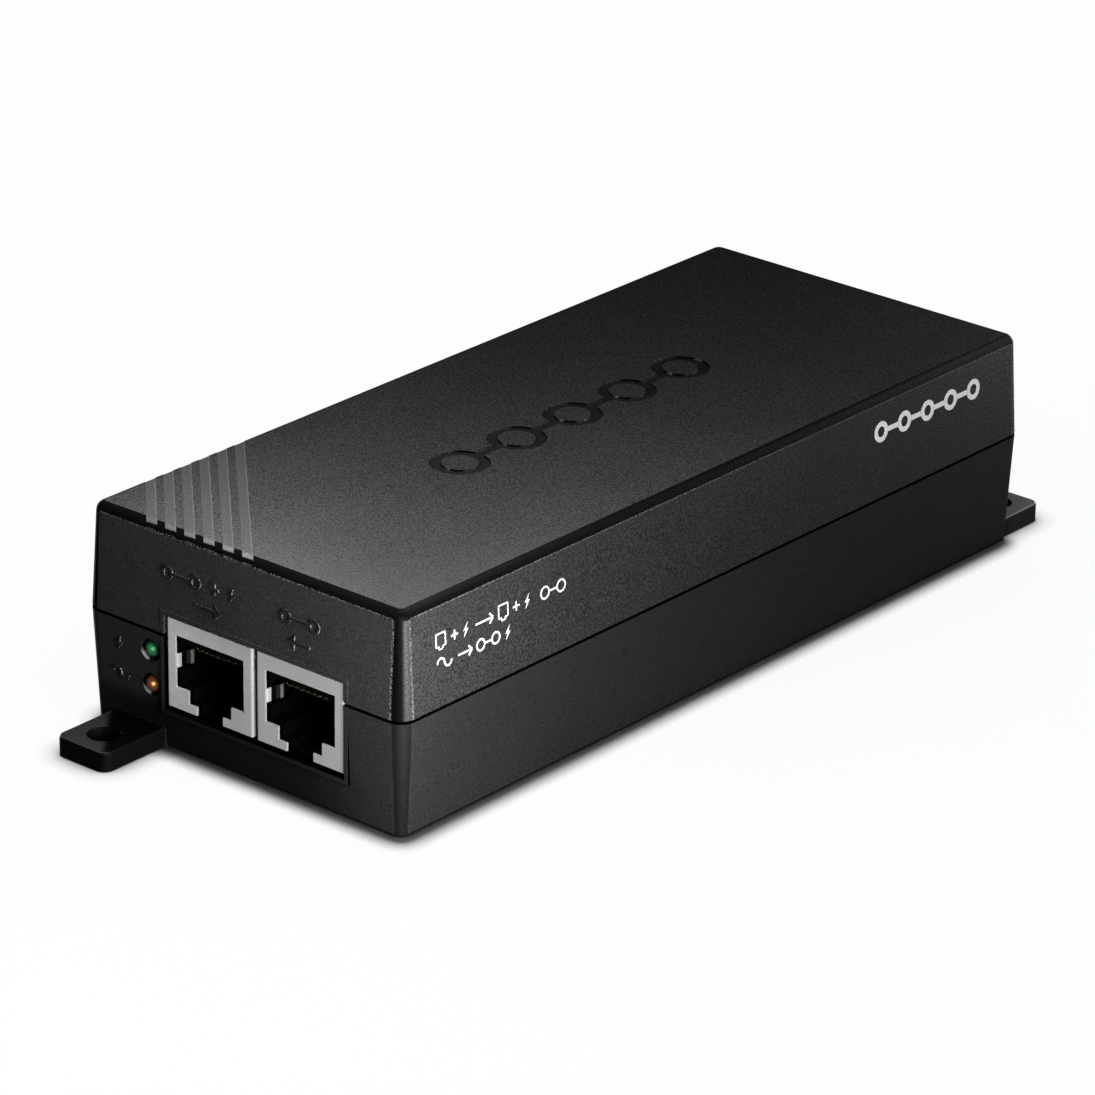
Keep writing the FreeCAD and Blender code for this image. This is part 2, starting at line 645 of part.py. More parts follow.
def inlet_pins():
    """Line, earth and neutral blades, each with a tail that turns down to the board."""
    tail_y = {-7.0: 46.2, 0.0: 44.6, 7.0: 46.2}
    tip_y = INLET_FACE_Y - 2.0

    def tip_edge(edge):
        return all(abs(v.Y - tip_y) < 1e-5 for v in edge.Vertexes)
    pins = []
    for pin_x, pin_z in PINS:
        y = tail_y[pin_x]
        x = (pin_x - PIN_HALF_X, pin_x + PIN_HALF_X)
        blade = block(x, (INLET_BACK_Y - 0.3, tip_y), (pin_z - PIN_HALF_Z, pin_z + PIN_HALF_Z))
        blade = blade.makeChamfer(0.5, [e for e in blade.Edges if tip_edge(e)])
        strap = block(x, (y - 0.4, INLET_BACK_Y), (pin_z - 0.4, pin_z + 0.4))
        tail_z = (BOARD_BOTTOM - TAIL_LENGTH, pin_z + 0.4)
        tail = block((pin_x - 0.6, pin_x + 0.6), (y - 0.4, y + 0.4), tail_z)
        pins.append(join([blade, strap, tail]))
        THROUGH_LEADS.append((pin_x, y, 0.75))
    return pins


# ======== Power supply components ========

def solder_cone(x, y, radius):
    """The solder fillet round a lead on the underside of the board."""
    foot = Vector(x, y, BOARD_BOTTOM - SOLDER_HEIGHT)
    return Part.makeCone(radius, radius + SOLDER_R, SOLDER_HEIGHT, foot)


def add_lead(x, y, top, radius=0.35):
    """A round lead from a component's underside down through the board, with its solder."""
    THROUGH_LEADS.append((x, y, radius))
    lead = rod_z(x, y, (BOARD_BOTTOM - TAIL_LENGTH, top), radius)
    LEAD_SOLIDS.append(join([lead, solder_cone(x, y, radius)]))


def standing_disc(x, y, radius, thickness, lift, along):
    """A dipped disc that stands on two leads. along is the axis it lies along, 'x' or 'y'."""
    z = BOARD_TOP + lift + radius
    spread = radius * 0.5
    if along == "x":
        disc = rod_y(x, (y - thickness / 2, y + thickness / 2), z, radius)
        spots = [(x - spread, y), (x + spread, y)]
    else:
        disc = rod_x((x - thickness / 2, x + thickness / 2), y, z, radius)
        spots = [(x, y - spread), (x, y + spread)]
    disc = disc.makeFillet(thickness * 0.35, [e for e in disc.Edges if e.Closed])
    lead_r = 0.35
    chord = math.sqrt(radius ** 2 - (spread - lead_r) ** 2)
    for lead_x, lead_y in spots:
        add_lead(lead_x, lead_y, z - chord, lead_r)
    return disc


FUSE_AT = (-19.5, 51.0)
VARISTOR_AT = (19.5, 52.0)
THERMISTOR_AT = (-15.8, 36.0)
X_CAPACITOR_AT = (0.0, 37.6)
Y_CAPACITORS_AT = [(-7.6, 29.3), (1.6, 29.3)]
CHOKE_AT = (16.2, 29.0)
BRIDGE_AT = (-17.0, 22.0)
BULK_CAPACITOR_AT = (2.0, 16.6)
TRANSFORMER_AT = (-2.0, -9.0)
PRIMARY_SINK_Y = (-16.0, 12.0)
SECONDARY_SINK_Y = (-21.4, 6.0)
SINK_X = (22.4, 24.4)
SINK_HEIGHT = 19.0
MOSFET_Y = -2.0
RECTIFIER_Y = -9.0
OUTPUT_CAPACITORS_AT = [(5.6, -27.6), (16.6, -27.6)]
INDUCTOR_AT = (-6.0, -27.8)
OPTOCOUPLERS_AT = [(-17.5, -22.0), (-17.5, -30.5)]
MAGNETICS_AT = [(JACK_X["out"], -41.2), (JACK_X["in"], -41.2)]
CONTROLLER_AT = (-19.9, -47.3)
CHIPS_AT = [(21.6 + dx, y) for dx in (0.0, 3.2) for y in (-62.0 + 8.0, -50.5, -47.0, -43.5)]
CHIPS_AT += [(-24.4, y) for y in (18.0, 21.5, 25.0)] + [(x, -34.2) for x in (-14.0, 10.6)]
CHIPS_AT += [(23.4, y) for y in (12.0, 15.5, 19.0, 22.5)] + [(x, 5.0) for x in (-14.0, -10.5, 13.5, 17.0)]


def mains_fuse():
    """A round fuse in a moulded cap, on two leads."""
    x, y = FUSE_AT
    for dy in (-2.54, 2.54):
        add_lead(x, y + dy, BOARD_TOP + 0.6)
    body = rod_z(x, y, (BOARD_TOP + 0.6, BOARD_TOP + 8.2), 4.2)
    return round_edges(body, 0.5, all_at_z(BOARD_TOP + 8.2))


def x_capacitor():
    x, y = X_CAPACITOR_AT
    body = block((x - 9.0, x + 9.0), (y - 4.2, y + 4.2), (BOARD_TOP + 0.3, BOARD_TOP + 14.8))
    for dx in (-7.5, 7.5):
        add_lead(x + dx, y, BOARD_TOP + 0.3)
    return round_edges(body, 0.6, lambda e: not all_at_z(BOARD_TOP + 0.3)(e))


CHOKE_MAJOR, CHOKE_MINOR_Z, CHOKE_HALF = 6.0, 2.0, 2.6
CHOKE_Z = BOARD_TOP + 10.6


def choke_core():
    """A ferrite ring that stands on edge, its axis along X."""
    x, y = CHOKE_AT
    ring = rod_x((x - CHOKE_HALF, x + CHOKE_HALF), y, CHOKE_Z, CHOKE_MAJOR + CHOKE_MINOR_Z)
    return ring.cut(rod_x((x - 9, x + 9), y, CHOKE_Z, CHOKE_MAJOR - CHOKE_MINOR_Z))


def choke_windings():
    """Two coils of enamelled wire, one on each side of the ring."""
    x, y = CHOKE_AT
    wire, play, turns, first, step = 0.7, 0.08, 7, 36.0, 18.0
    inner_x, inner_r = CHOKE_HALF + play, CHOKE_MINOR_Z + play
    outer_x, outer_r = inner_x + wire, inner_r + wire
    top = CHOKE_Z + CHOKE_MAJOR
    coils = []
    for side in (-1, 1):
        for i in range(turns):
            outer = block((x - outer_x, x + outer_x), (y - wire / 2, y + wire / 2),
                          (top - outer_r, top + outer_r))
            hole = block((x - inner_x, x + inner_x), (y - wire, y + wire), (top - inner_r, top + inner_r))
            turn = outer.cut(hole)
            turn.rotate(Vector(x, y, CHOKE_Z), Vector(1, 0, 0), side * (first + i * step))
            coils.append(turn)
    return coils


def choke_seat():
    """The plastic cradle under the choke."""
    x, y = CHOKE_AT
    seat = block((x - 4.2, x + 4.2), (y - 6.5, y + 6.5), (BOARD_TOP, BOARD_TOP + 4.6))
    seat = seat.cut(rod_x((x - 9, x + 9), y, CHOKE_Z, CHOKE_MAJOR + CHOKE_MINOR_Z + 0.79))
    for dx in (-3.0, 3.0):
        for dy in (-5.0, 5.0):
            add_lead(x + dx, y + dy, BOARD_TOP)
    return seat


def bridge_rectifier():
    """Four diodes in one flat upright package on four leads."""
    x, y = BRIDGE_AT
    foot = BOARD_TOP + 3.0
    body = block((x - 1.8, x + 1.8), (y - 7.3, y + 7.3), (foot, foot + 10.6))
    corner = [(y + 7.4, foot + 7.6), (y + 7.4, foot + 11), (y + 4.3, foot + 11)]
    corner = prism([Vector(x - 5, py, pz) for py, pz in corner], Vector(10, 0, 0))
    for i in range(4):
        add_lead(x, y + (i - 1.5) * 3.81, foot, 0.4)
    return body.cut(corner).cut(rod_x((x - 5, x + 5), y, foot + 6.4, 1.5))


def can_capacitor(x, y, radius, height, spread):
    """An electrolytic can: rolled groove near its foot and a vent cross on its top."""
    z = BOARD_TOP + 0.3
    can = rod_z(x, y, (z, z + height), radius)
    can = round_edges(can, 0.6, all_at_z(z + height))
    groove = Part.makeTorus(radius + 0.25, 0.6, Vector(x, y, z + 2.2), Vector(0, 0, 1))
    can = can.cut(groove)
    reach, vent_half, vent_depth = radius * 0.6, 0.15, 0.2
    for angle in (45, 135):
        slot = block((x - reach, x + reach), (y - vent_half, y + vent_half),
                     (z + height - vent_depth, z + height + 1))
        slot.rotate(Vector(x, y, z), Vector(0, 0, 1), angle)
        can = can.cut(slot)
    for side in (-1, 1):
        add_lead(x + side * spread / 2, y, z)
    return can


CORE_X, CORE_Y, CORE_Z = 13.0, 4.4, 20.6
LEG_HALF = 3.8
WINDOW_HALF_Z = 6.4
BOBBIN_FLOOR = BOARD_TOP + 1.6


def transformer_core():
    """Two ferrite halves that close round the bobbin: a frame with a middle leg along Z."""
    x, y = TRANSFORMER_AT
    z0 = BOBBIN_FLOOR
    core = block((x - CORE_X, x + CORE_X), (y - CORE_Y, y + CORE_Y), (z0, z0 + CORE_Z))
    middle = z0 + CORE_Z / 2
    for side in (-1, 1):
        edge = sorted((x + side * LEG_HALF, x + side * (CORE_X - 3.4)))
        core = core.cut(block(edge, (y - 9, y + 9), (middle - WINDOW_HALF_Z, middle + WINDOW_HALF_Z)))
    top = core.common(block((x - 20, x + 20), (y - 20, y + 20), (middle + 0.05, middle + 30)))
    bottom = core.common(block((x - 20, x + 20), (y - 20, y + 20), (middle - 30, middle - 0.05)))
    return [bottom, top]


def transformer_bobbin():
    """The coil former: a square tube with a flange at each end and a pin rail at each side."""
    x, y = TRANSFORMER_AT
    middle = BOBBIN_FLOOR + CORE_Z / 2
    reach, play, wall = 9.2, 0.1, 0.9
    inner_x, inner_y = LEG_HALF + play, CORE_Y + play
    low, high = middle - WINDOW_HALF_Z + play, middle + WINDOW_HALF_Z
    outer_x, outer_y = inner_x + wall, inner_y + wall
    half_y = 10.4
    tube = block((x - outer_x, x + outer_x), (y - outer_y, y + outer_y), (low, high))
    flanges = [block((x - reach, x + reach), (y - half_y, y + half_y), z)
               for z in ((low, low + wall), (high - wall, high))]
    rails = [block((x - 12.0, x + 12.0), sorted((y + side * 6.6, y + side * half_y)), (BOARD_TOP, low + 0.3))
             for side in (-1, 1)]
    former = join([tube] + flanges + rails)
    for side in (-1, 1):
        for i in range(5):
            add_lead(x + (i - 2) * 5.0, y + side * 9.0, BOARD_TOP)
    bore = block((x - inner_x, x + inner_x), (y - inner_y, y + inner_y), (middle - 20, middle + 20))
    return former.cut(bore)


def transformer_winding():
    """The wound coil under its outer tape."""
    x, y = TRANSFORMER_AT
    middle = BOBBIN_FLOOR + CORE_Z / 2
    z = (middle - WINDOW_HALF_Z + 1.0, middle + WINDOW_HALF_Z - 1.0)
    coil = block((x - 9.0, x + 9.0), (y - 9.8, y + 9.8), z)
    coil = round_edges(coil, 3.0, upright)
    return coil.cut(block((x - LEG_HALF - 1.1, x + LEG_HALF + 1.1), (y - CORE_Y - 1.1, y + CORE_Y + 1.1),
                          (middle - 20, middle + 20)))


DEVICE_HOLE_Z = BOARD_TOP + 16.4
TAB_THICKNESS = 1.3


def heatsink(side, y, device_y):
    """An upright aluminium plate with a folded top and a tapped hole for its device."""
    inner, outer = side * SINK_X[0], side * SINK_X[1]
    top = BOARD_TOP + SINK_HEIGHT
    plate = block(sorted((inner, outer)), y, (BOARD_TOP, top))
    fold = block(sorted((side * (SINK_X[0] - 4.0), outer)), y, (top, top + 1.5))
    plate = plate.fuse(fold).removeSplitter()
    for foot_y in (y[0] + 3, y[1] - 3):
        x = side * (SINK_X[0] + SINK_X[1]) / 2
        add_lead(x, foot_y, BOARD_TOP, 0.6)
    return plate.cut(rod_x((min(inner, outer) - 1, max(inner, outer) + 1), device_y, DEVICE_HOLE_Z, 1.5))


def power_device(side, y):
    """A three-lead power package, its metal tab against the heatsink."""
    face = SINK_X[0]
    foot = BOARD_TOP + 4.0
    wide = (y - 5.0, y + 5.0)
    tab = block(sorted((side * face, side * (face - TAB_THICKNESS))), wide, (foot, foot + 14.6))
    case = block(sorted((side * face, side * (face - 4.4))), wide, (foot, foot + 9.0))
    package = join([tab, case])
    for i in (-1, 0, 1):
        add_lead(side * (face - 2.4), y + i * 2.54, foot, 0.4)
    return package.cut(rod_x(sorted((side * (face + 1), side * (face - 9))), y, DEVICE_HOLE_Z, 1.6))


def device_screw(side, y):
    """The screw that clamps a power device to its heatsink."""
    face = SINK_X[0] - TAB_THICKNESS
    head = rod_x(sorted((side * face, side * (face - 1.8))), y, DEVICE_HOLE_Z, 2.5)
    shank = rod_x(sorted((side * (face - 0.5), side * (SINK_X[1] + 0.3))), y, DEVICE_HOLE_Z, 1.4)
    slot = block(sorted((side * (face - 1.0), side * (face - 3.0))), (y - 2.0, y + 2.0),
                 (DEVICE_HOLE_Z - 0.35, DEVICE_HOLE_Z + 0.35))
    return join([head, shank]).cut(slot)


def inductor_core():
    """A ferrite drum: a waisted cylinder between two flanges."""
    x, y = INDUCTOR_AT
    z = BOARD_TOP + 0.3
    drum = join([rod_z(x, y, (z, z + 1.8), 5.5), rod_z(x, y, (z + 1.8, z + 10.2), 2.6),
                 rod_z(x, y, (z + 10.2, z + 12.0), 5.5)])
    for side in (-1, 1):
        add_lead(x + side * 3.8, y, z, 0.4)
    return drum


def inductor_winding():
    """Stacked turns of thick wire round the drum."""
    x, y = INDUCTOR_AT
    low, wire, turns = BOARD_TOP + 2.2, 0.55, 14
    coil = rod_z(x, y, (low, low + wire * turns), 4.3)
    for i in range(turns + 1):
        coil = coil.cut(Part.makeTorus(4.45, 0.3, Vector(x, y, low + i * wire), Vector(0, 0, 1)))
    return coil.cut(rod_z(x, y, (low - 1, low + 20), 2.7))


# ======== Small parts on the board ========

CHIP_PINS = []


def gull_package(x, y, half_x, half_y, height, pins, pitch, turned):
    """A moulded package with a row of bent pins on its two long sides. turned puts the rows along Y."""
    low = BOARD_TOP + 0.35
    body = block((x - half_x, x + half_x), (y - half_y, y + half_y), (low, low + height))
    body = body.makeChamfer(0.3, [e for e in body.Edges if all_at_z(low + height)(e)])
    edge = half_x if turned else half_y
    for side in (-1, 1):
        for i in range(pins):
            along = (i - (pins - 1) / 2) * pitch
            foot = [(edge, 1.0), (edge + 0.5, 1.0), (edge + 0.7, 0.2), (edge + 1.4, 0.2), (edge + 1.4, 0),
                    (edge + 0.55, 0), (edge + 0.35, 0.8), (edge, 0.8)]
            if turned:
                points = [Vector(x + side * d, y + along - 0.2, BOARD_TOP + h) for d, h in foot]
                CHIP_PINS.append(prism(points, Vector(0, 0.4, 0)))
            else:
                points = [Vector(x + along - 0.2, y + side * d, BOARD_TOP + h) for d, h in foot]
                CHIP_PINS.append(prism(points, Vector(0.4, 0, 0)))
    return body


def chip_part(x, y):
    """A small two-terminal chip."""
    return block((x - 0.8, x + 0.8), (y - 0.45, y + 0.45), (BOARD_TOP, BOARD_TOP + 0.55))


def main_board():
    """The circuit board, notched round the screw towers and drilled for every lead."""
    hx, hy, nx, ny = BOARD_HALF_X, BOARD_HALF_Y, NOTCH_X, NOTCH_Y
    quarter = [(hx, ny), (nx, ny), (nx, hy)]
    points = quarter + [(-px, py) for px, py in reversed(quarter)]
    points += [(-px, -py) for px, py in points]
    board = prism_xy(points, (BOARD_BOTTOM, BOARD_TOP))
    for x, y, radius in THROUGH_LEADS:
        board = board.cut(rod_z(x, y, (BOARD_BOTTOM - 1, BOARD_TOP + 1), radius + HOLE_PLAY))
    for x, y in BOARD_SCREWS:
        board = board.cut(rod_z(x, y, (BOARD_BOTTOM - 1, BOARD_TOP + 1), PILOT_R + 0.2))
    for name in JACK_X:
        for cx in contact_xs(name):
            board = board.cut(rod_z(cx, INSERT_BACK_Y - 0.18, (BOARD_BOTTOM - 1, BOARD_TOP + 1), 0.36))
    for slot in shield_tab_slots():
        board = board.cut(slot)
    return board


# ======== Whole object ========

def save_case():
    save("top_cover", top_cover())
    save("bottom_base", bottom_base())
    save("rating_label", rating_label())
    save("case_screws", *[pan_screw(x, y, HEAD_SEAT, -1, CASE_SHANK) for x, y in mirrored_corners()])
    save("board_screws", *[pan_screw(x, y, BOARD_TOP, 1, BOARD_SHANK) for x, y in BOARD_SCREWS])


def save_jacks():
    for name in JACK_X:
        save(f"{name}_jack_shield", jack_shield(name))
        save(f"{name}_jack_insert", jack_insert(name))
        save(f"{name}_jack_leads", *[contact_lead(cx) for cx in contact_xs(name)])
        save(f"{name}_jack_springs", *[contact_spring(cx) for cx in contact_xs(name)])


def save_lamps():
    for colour, z in LAMP_Z.items():
        save(f"{colour}_lamp", lamp(z))
    save("lamp_leads", *lamp_leads())
    save("lamp_holder", lamp_holder())


def save_mains_side():
    save("inlet_housing", inlet_housing())
    save("inlet_pins", *inlet_pins())
    save("mains_fuse", mains_fuse())
    save("surge_varistor", standing_disc(*VARISTOR_AT, 5.2, 4.2, 1.5, "y"))
    save("inrush_thermistor", standing_disc(*THERMISTOR_AT, 4.6, 4.0, 1.5, "y"))
    save("x_capacitor", x_capacitor())
    save("y_capacitors", *[standing_disc(*at, 3.6, 3.0, 2.0, "x") for at in Y_CAPACITORS_AT])
    save("choke_core", choke_core())
    save("choke_windings", *choke_windings())
    save("choke_seat", choke_seat())
    save("bridge_rectifier", bridge_rectifier())
    save("bulk_capacitor", can_capacitor(*BULK_CAPACITOR_AT, 9.0, 22.0, 7.5))


def save_converter():
    save("transformer_core", *transformer_core())
    save("transformer_bobbin", transformer_bobbin())
    save("transformer_winding", transformer_winding())
    save("primary_heatsink", heatsink(-1, PRIMARY_SINK_Y, MOSFET_Y))
    save("power_transistor", power_device(-1, MOSFET_Y))
    save("secondary_heatsink", heatsink(1, SECONDARY_SINK_Y, RECTIFIER_Y))
    save("output_rectifier", power_device(1, RECTIFIER_Y))
    save("device_screws", device_screw(-1, MOSFET_Y), device_screw(1, RECTIFIER_Y))
    save("output_capacitors", *[can_capacitor(*at, 5.0, 19.0, 5.0) for at in OUTPUT_CAPACITORS_AT])
    save("inductor_core", inductor_core())
    save("inductor_winding", inductor_winding())


def save_small_parts():
    save("optocouplers", *[gull_package(*at, 3.2, 2.3, 3.4, 2, 2.54, True) for at in OPTOCOUPLERS_AT])
    save("data_transformers", *[gull_package(*at, 7.4, 4.6, 5.4, 12, 1.1, False) for at in MAGNETICS_AT])
    save("power_controller", gull_package(*CONTROLLER_AT, 3.7, 7.6, 2.3, 12, 1.27, True))
    save("chip_pins", *CHIP_PINS)
    save("chip_parts", *[chip_part(*at) for at in CHIPS_AT])
    save("component_leads", *LEAD_SOLIDS)


def main():
    os.makedirs("parts", exist_ok=True)
    save_case()
    save_jacks()
    save_lamps()
    save_mains_side()
    save_converter()
    save_small_parts()
    save("main_board", main_board())


main()
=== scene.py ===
"""Looks for the network power injector: materials, printed marks, floor, lights and camera. Metres."""
import json
import math

import bmesh
import bpy
from mathutils import Matrix, Vector


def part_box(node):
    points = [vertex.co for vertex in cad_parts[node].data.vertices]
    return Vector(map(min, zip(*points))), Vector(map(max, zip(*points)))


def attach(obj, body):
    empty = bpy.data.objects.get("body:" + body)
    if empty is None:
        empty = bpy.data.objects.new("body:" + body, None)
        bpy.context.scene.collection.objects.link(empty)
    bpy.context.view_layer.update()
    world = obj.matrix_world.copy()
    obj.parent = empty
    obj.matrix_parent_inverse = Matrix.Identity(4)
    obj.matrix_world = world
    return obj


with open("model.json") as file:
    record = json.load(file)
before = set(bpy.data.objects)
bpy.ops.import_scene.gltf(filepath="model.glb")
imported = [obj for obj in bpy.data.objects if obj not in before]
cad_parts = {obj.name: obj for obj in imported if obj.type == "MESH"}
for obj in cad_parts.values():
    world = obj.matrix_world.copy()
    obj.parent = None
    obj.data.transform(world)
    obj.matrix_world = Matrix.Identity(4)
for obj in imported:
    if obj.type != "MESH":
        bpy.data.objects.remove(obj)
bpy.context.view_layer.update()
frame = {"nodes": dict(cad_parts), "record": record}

MM = 0.001
COVER_LOW, COVER_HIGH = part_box("top_cover")
BASE_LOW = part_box("bottom_base")[0]
TOP_Z = COVER_HIGH.z
FRONT_Y = COVER_LOW.y
SIDE_X = COVER_HIGH.x
SEAM_Z = 17.5 * MM
GREEN_LAMP = sum(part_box("green_lamp"), Vector()) / 2
AMBER_LAMP = sum(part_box("amber_lamp"), Vector()) / 2
SHIELDS_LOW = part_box("out_jack_shield")[0]
SHIELDS_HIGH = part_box("in_jack_shield")[1]
DRAFT = 0.9 * MM
WALL_LEAN = DRAFT / (TOP_Z - SEAM_Z)
GREY_SPREAD = (0.42, 0.58)


# ======== Node graphs ========

class Graph:
    """One material and a short way to add nodes to it."""

    def __init__(self, name):
        self.material = bpy.data.materials.new(name)
        self.material.use_nodes = True
        self.tree = self.material.node_tree
        self.tree.nodes.clear()

    def add(self, kind, inputs=None, **settings):
        node = self.tree.nodes.new(kind)
        for key, value in settings.items():
            setattr(node, key, value)
        for key, value in (inputs or {}).items():
            self.feed(node.inputs[key], value)
        return node

    def feed(self, socket, value):
        if isinstance(value, bpy.types.NodeSocket):
            self.tree.links.new(value, socket)
        elif hasattr(value, "__len__") and len(value) == 3 and len(socket.default_value) == 4:
            socket.default_value = (*value, 1.0)
        else:
            socket.default_value = value

    def math(self, operation, a, b=0.0, c=0.0, clamp=False):
        inputs = {0: a, 1: b}
        if operation in ("MULTIPLY_ADD", "COMPARE"):
            inputs[2] = c
        return self.add("ShaderNodeMath", inputs, operation=operation, use_clamp=clamp).outputs[0]

    def ramp(self, value, low, high, to_low=0.0, to_high=1.0, smooth=True):
        """Maps value from low..high to to_low..to_high, and holds it beyond them."""
        kind = "SMOOTHSTEP" if smooth else "LINEAR"
        inputs = {"Value": value, "From Min": low, "From Max": high, "To Min": to_low, "To Max": to_high}
        return self.add("ShaderNodeMapRange", inputs, interpolation_type=kind).outputs["Result"]

    def blend(self, factor, a, b):
        """A colour between a and b."""
        node = self.add("ShaderNodeMix", data_type="RGBA")
        self.feed(node.inputs[0], factor)
        self.feed(node.inputs[6], a)
        self.feed(node.inputs[7], b)
        return node.outputs[2]

    def blend_value(self, factor, a, b):
        """A number between a and b."""
        return self.add("ShaderNodeMix", {0: factor, 2: a, 3: b}, data_type="FLOAT").outputs[0]

    def place(self):
        """Object coordinates, and x, y and z on their own."""
        coords = self.add("ShaderNodeTexCoord").outputs["Object"]
        split = self.add("ShaderNodeSeparateXYZ", {0: coords})
        return coords, split.outputs

    def noise(self, coords, size, detail=2.0, roughness=0.5):
        """Noise with features of about this size in metres."""
        inputs = {"Vector": coords, "Scale": 1.0 / size, "Detail": detail, "Roughness": roughness}
        return self.add("ShaderNodeTexNoise", inputs).outputs["Fac"]

    def bump(self, height, distance, strength, normal=None):
        inputs = {"Height": height, "Distance": distance, "Strength": strength}
        if normal is not None:
            inputs["Normal"] = normal
        return self.add("ShaderNodeBump", inputs).outputs["Normal"]

    def rounded(self, radius):
        """A normal that looks as if sharp edges were rounded."""
        return self.add("ShaderNodeBevel", {"Radius": radius}, samples=4).outputs["Normal"]

    def surface(self, **inputs):
        """Ends the graph in a principled shader. Underscores in names stand for spaces."""
        shader = self.add("ShaderNodeBsdfPrincipled", {k.replace("_", " "): v for k, v in inputs.items()})
        out = self.add("ShaderNodeOutputMaterial")
        self.tree.links.new(shader.outputs[0], out.inputs[0])
        return self.material


def facing(g):
    """How squarely a surface faces an axis (1 on a wall, less on an edge), and its normal's parts."""
    normal = g.add("ShaderNodeTexCoord").outputs["Normal"]
    parts = g.add("ShaderNodeSeparateXYZ", {0: normal}).outputs
    sizes = [g.math("ABSOLUTE", part) for part in parts]
    return g.math("MAXIMUM", g.math("MAXIMUM", sizes[0], sizes[1]), sizes[2]), parts


# ======== Case ========

# The slanted bands run where x + y is constant. The first starts at STRIPE_LEFT on the top's front edge.
STRIPE_PITCH = 3.63 * MM
STRIPE_WIDTH = 1.95 * MM
STRIPE_COUNT = 6
STRIPE_LEFT = -18.35 * MM
STRIPE_START = STRIPE_LEFT + FRONT_Y + DRAFT
STRIPE_STEP = 0.12 * MM
TOP_FILLET = 1.02 * MM

# The sunk mark's floor lies between these depths below the top.
MARK_SHALLOW = 0.25 * MM
MARK_DEEP = 0.5 * MM

# The raised signs' heights on the front wall, and how far they stand out at least.
COVER_SIGNS = (22 * MM, 30 * MM)
BASE_SIGNS = (5 * MM, 17 * MM)
BASE_SIGNS_RIGHT = -20 * MM
SIGN_HEIGHT = 0.1 * MM
FRONT_DEPTH = 2 * MM

RIM_SHADE = 0.28 * MM
GLINT_FOOT = SEAM_Z + 0.8 * MM
GLINT_RIGHT = 25 * MM
COUNTERSINK = 2.05 * MM

# The screw ears. Shade is painted on the front one's top beyond a slanted line through its hole, where
# x * EAR_TILT + y = EAR_SHADE: a painted reflection of the dark case.
EAR_TOP = 3.2 * MM
EAR_START = -FRONT_Y - 0.7 * MM
EAR_HOLE_X = -20.05 * MM
EAR_HOLE_Y = BASE_LOW.y + 4.85 * MM
EAR_TILT = 1.18
EAR_SHADE = EAR_HOLE_Y + EAR_TILT * EAR_HOLE_X

COVER_GRAIN = 3.2
SMOOTH_GRAIN = 1.6
BASE_GRAIN = 2.0

# The next two colours are painted on the rounded edges: a painted dark reflection.
EDGE_PAINTED_DARK = (0.0020, 0.0020, 0.0020)
BASE_EDGE_PAINTED_DARK = (0.0025, 0.0025, 0.0026)
SHADE_BLACK = (0.0015, 0.0015, 0.0015)
SIGN_BLACK = (0.0025, 0.0025, 0.0026)
SIGN_GLINT = (0.20, 0.20, 0.20)
EDGE_GLINT = (0.32, 0.32, 0.32)
HOLE_GLINT = (0.14, 0.14, 0.14)
# A painted highlight for the bands' steps.
STEP_HIGHLIGHT_GREY = (0.054, 0.054, 0.055)
# The next two colours are a painted sheen on the ear tops.
FRONT_EAR_PAINTED_SHEEN = (0.017, 0.017, 0.0173)
REAR_EAR_PAINTED_SHEEN = (0.122, 0.122, 0.124)


def both(g, *masks):
    """1 where all the masks are 1."""
    result = masks[0]
    for mask in masks[1:]:
        result = g.math("MULTIPLY", result, mask)
    return result


def either(g, *masks):
    """The largest of the masks."""
    result = masks[0]
    for mask in masks[1:]:
        result = g.math("MAXIMUM", result, mask)
    return result


def stripe_masks(g, xyz):
    """The six slanted bands at the top's front left corner, and the step at each band's right side, where a
    highlight is painted.
    """
    along = g.math("SUBTRACT", g.math("ADD", xyz[0], xyz[1]), STRIPE_START)
    place = g.math("FLOORED_MODULO", along, STRIPE_PITCH)
    started = g.math("GREATER_THAN", along, 0.0)
    ended = g.math("LESS_THAN", along, STRIPE_COUNT * STRIPE_PITCH)
    high = g.math("GREATER_THAN", xyz[2], TOP_Z - TOP_FILLET)
    zone = both(g, started, ended, high)
    band = both(g, zone, g.math("LESS_THAN", place, STRIPE_WIDTH))
    step = both(g, zone, g.math("COMPARE", place, STRIPE_WIDTH, STRIPE_STEP))
    return band, step


def raised_sign(g, xyz, wall_y, heights, right=1.0):
    """1 where the surface stands proud of the leaning front wall, between two heights and left of right."""
    proud = g.math("GREATER_THAN", g.math("SUBTRACT", wall_y, xyz[1]), SIGN_HEIGHT)
    above = g.math("GREATER_THAN", xyz[2], heights[0])
    below = g.math("LESS_THAN", xyz[2], heights[1])
    front = g.math("LESS_THAN", xyz[1], FRONT_Y + FRONT_DEPTH)
    left = g.math("LESS_THAN", xyz[0], right)
    return both(g, proud, above, below, front, left)


def sign_tone(g, sign, parts, coords, skin):
    """Darkens a raised sign's face, and paints specks of highlight on its lower right sides."""
    face = g.math("LESS_THAN", parts[1], -0.9)
    lit = g.math("GREATER_THAN", g.math("MULTIPLY_ADD", parts[2], -0.6, parts[0]), 0.3)
    speck = g.ramp(g.noise(coords, 0.25 * MM, 2.0, 0.7), 0.42, 0.56)
    skin = g.blend(both(g, sign, face), skin, SIGN_BLACK)
    return g.blend(both(g, sign, lit, speck), skin, SIGN_GLINT)


def sunk_mark(g, xyz, up):
    """1 on the floor of the mark sunk into the top."""
    below = g.math("LESS_THAN", xyz[2], TOP_Z - MARK_SHALLOW)
    above = g.math("GREATER_THAN", xyz[2], TOP_Z - MARK_DEEP)
    return both(g, g.math("GREATER_THAN", up, 0.9), below, above)


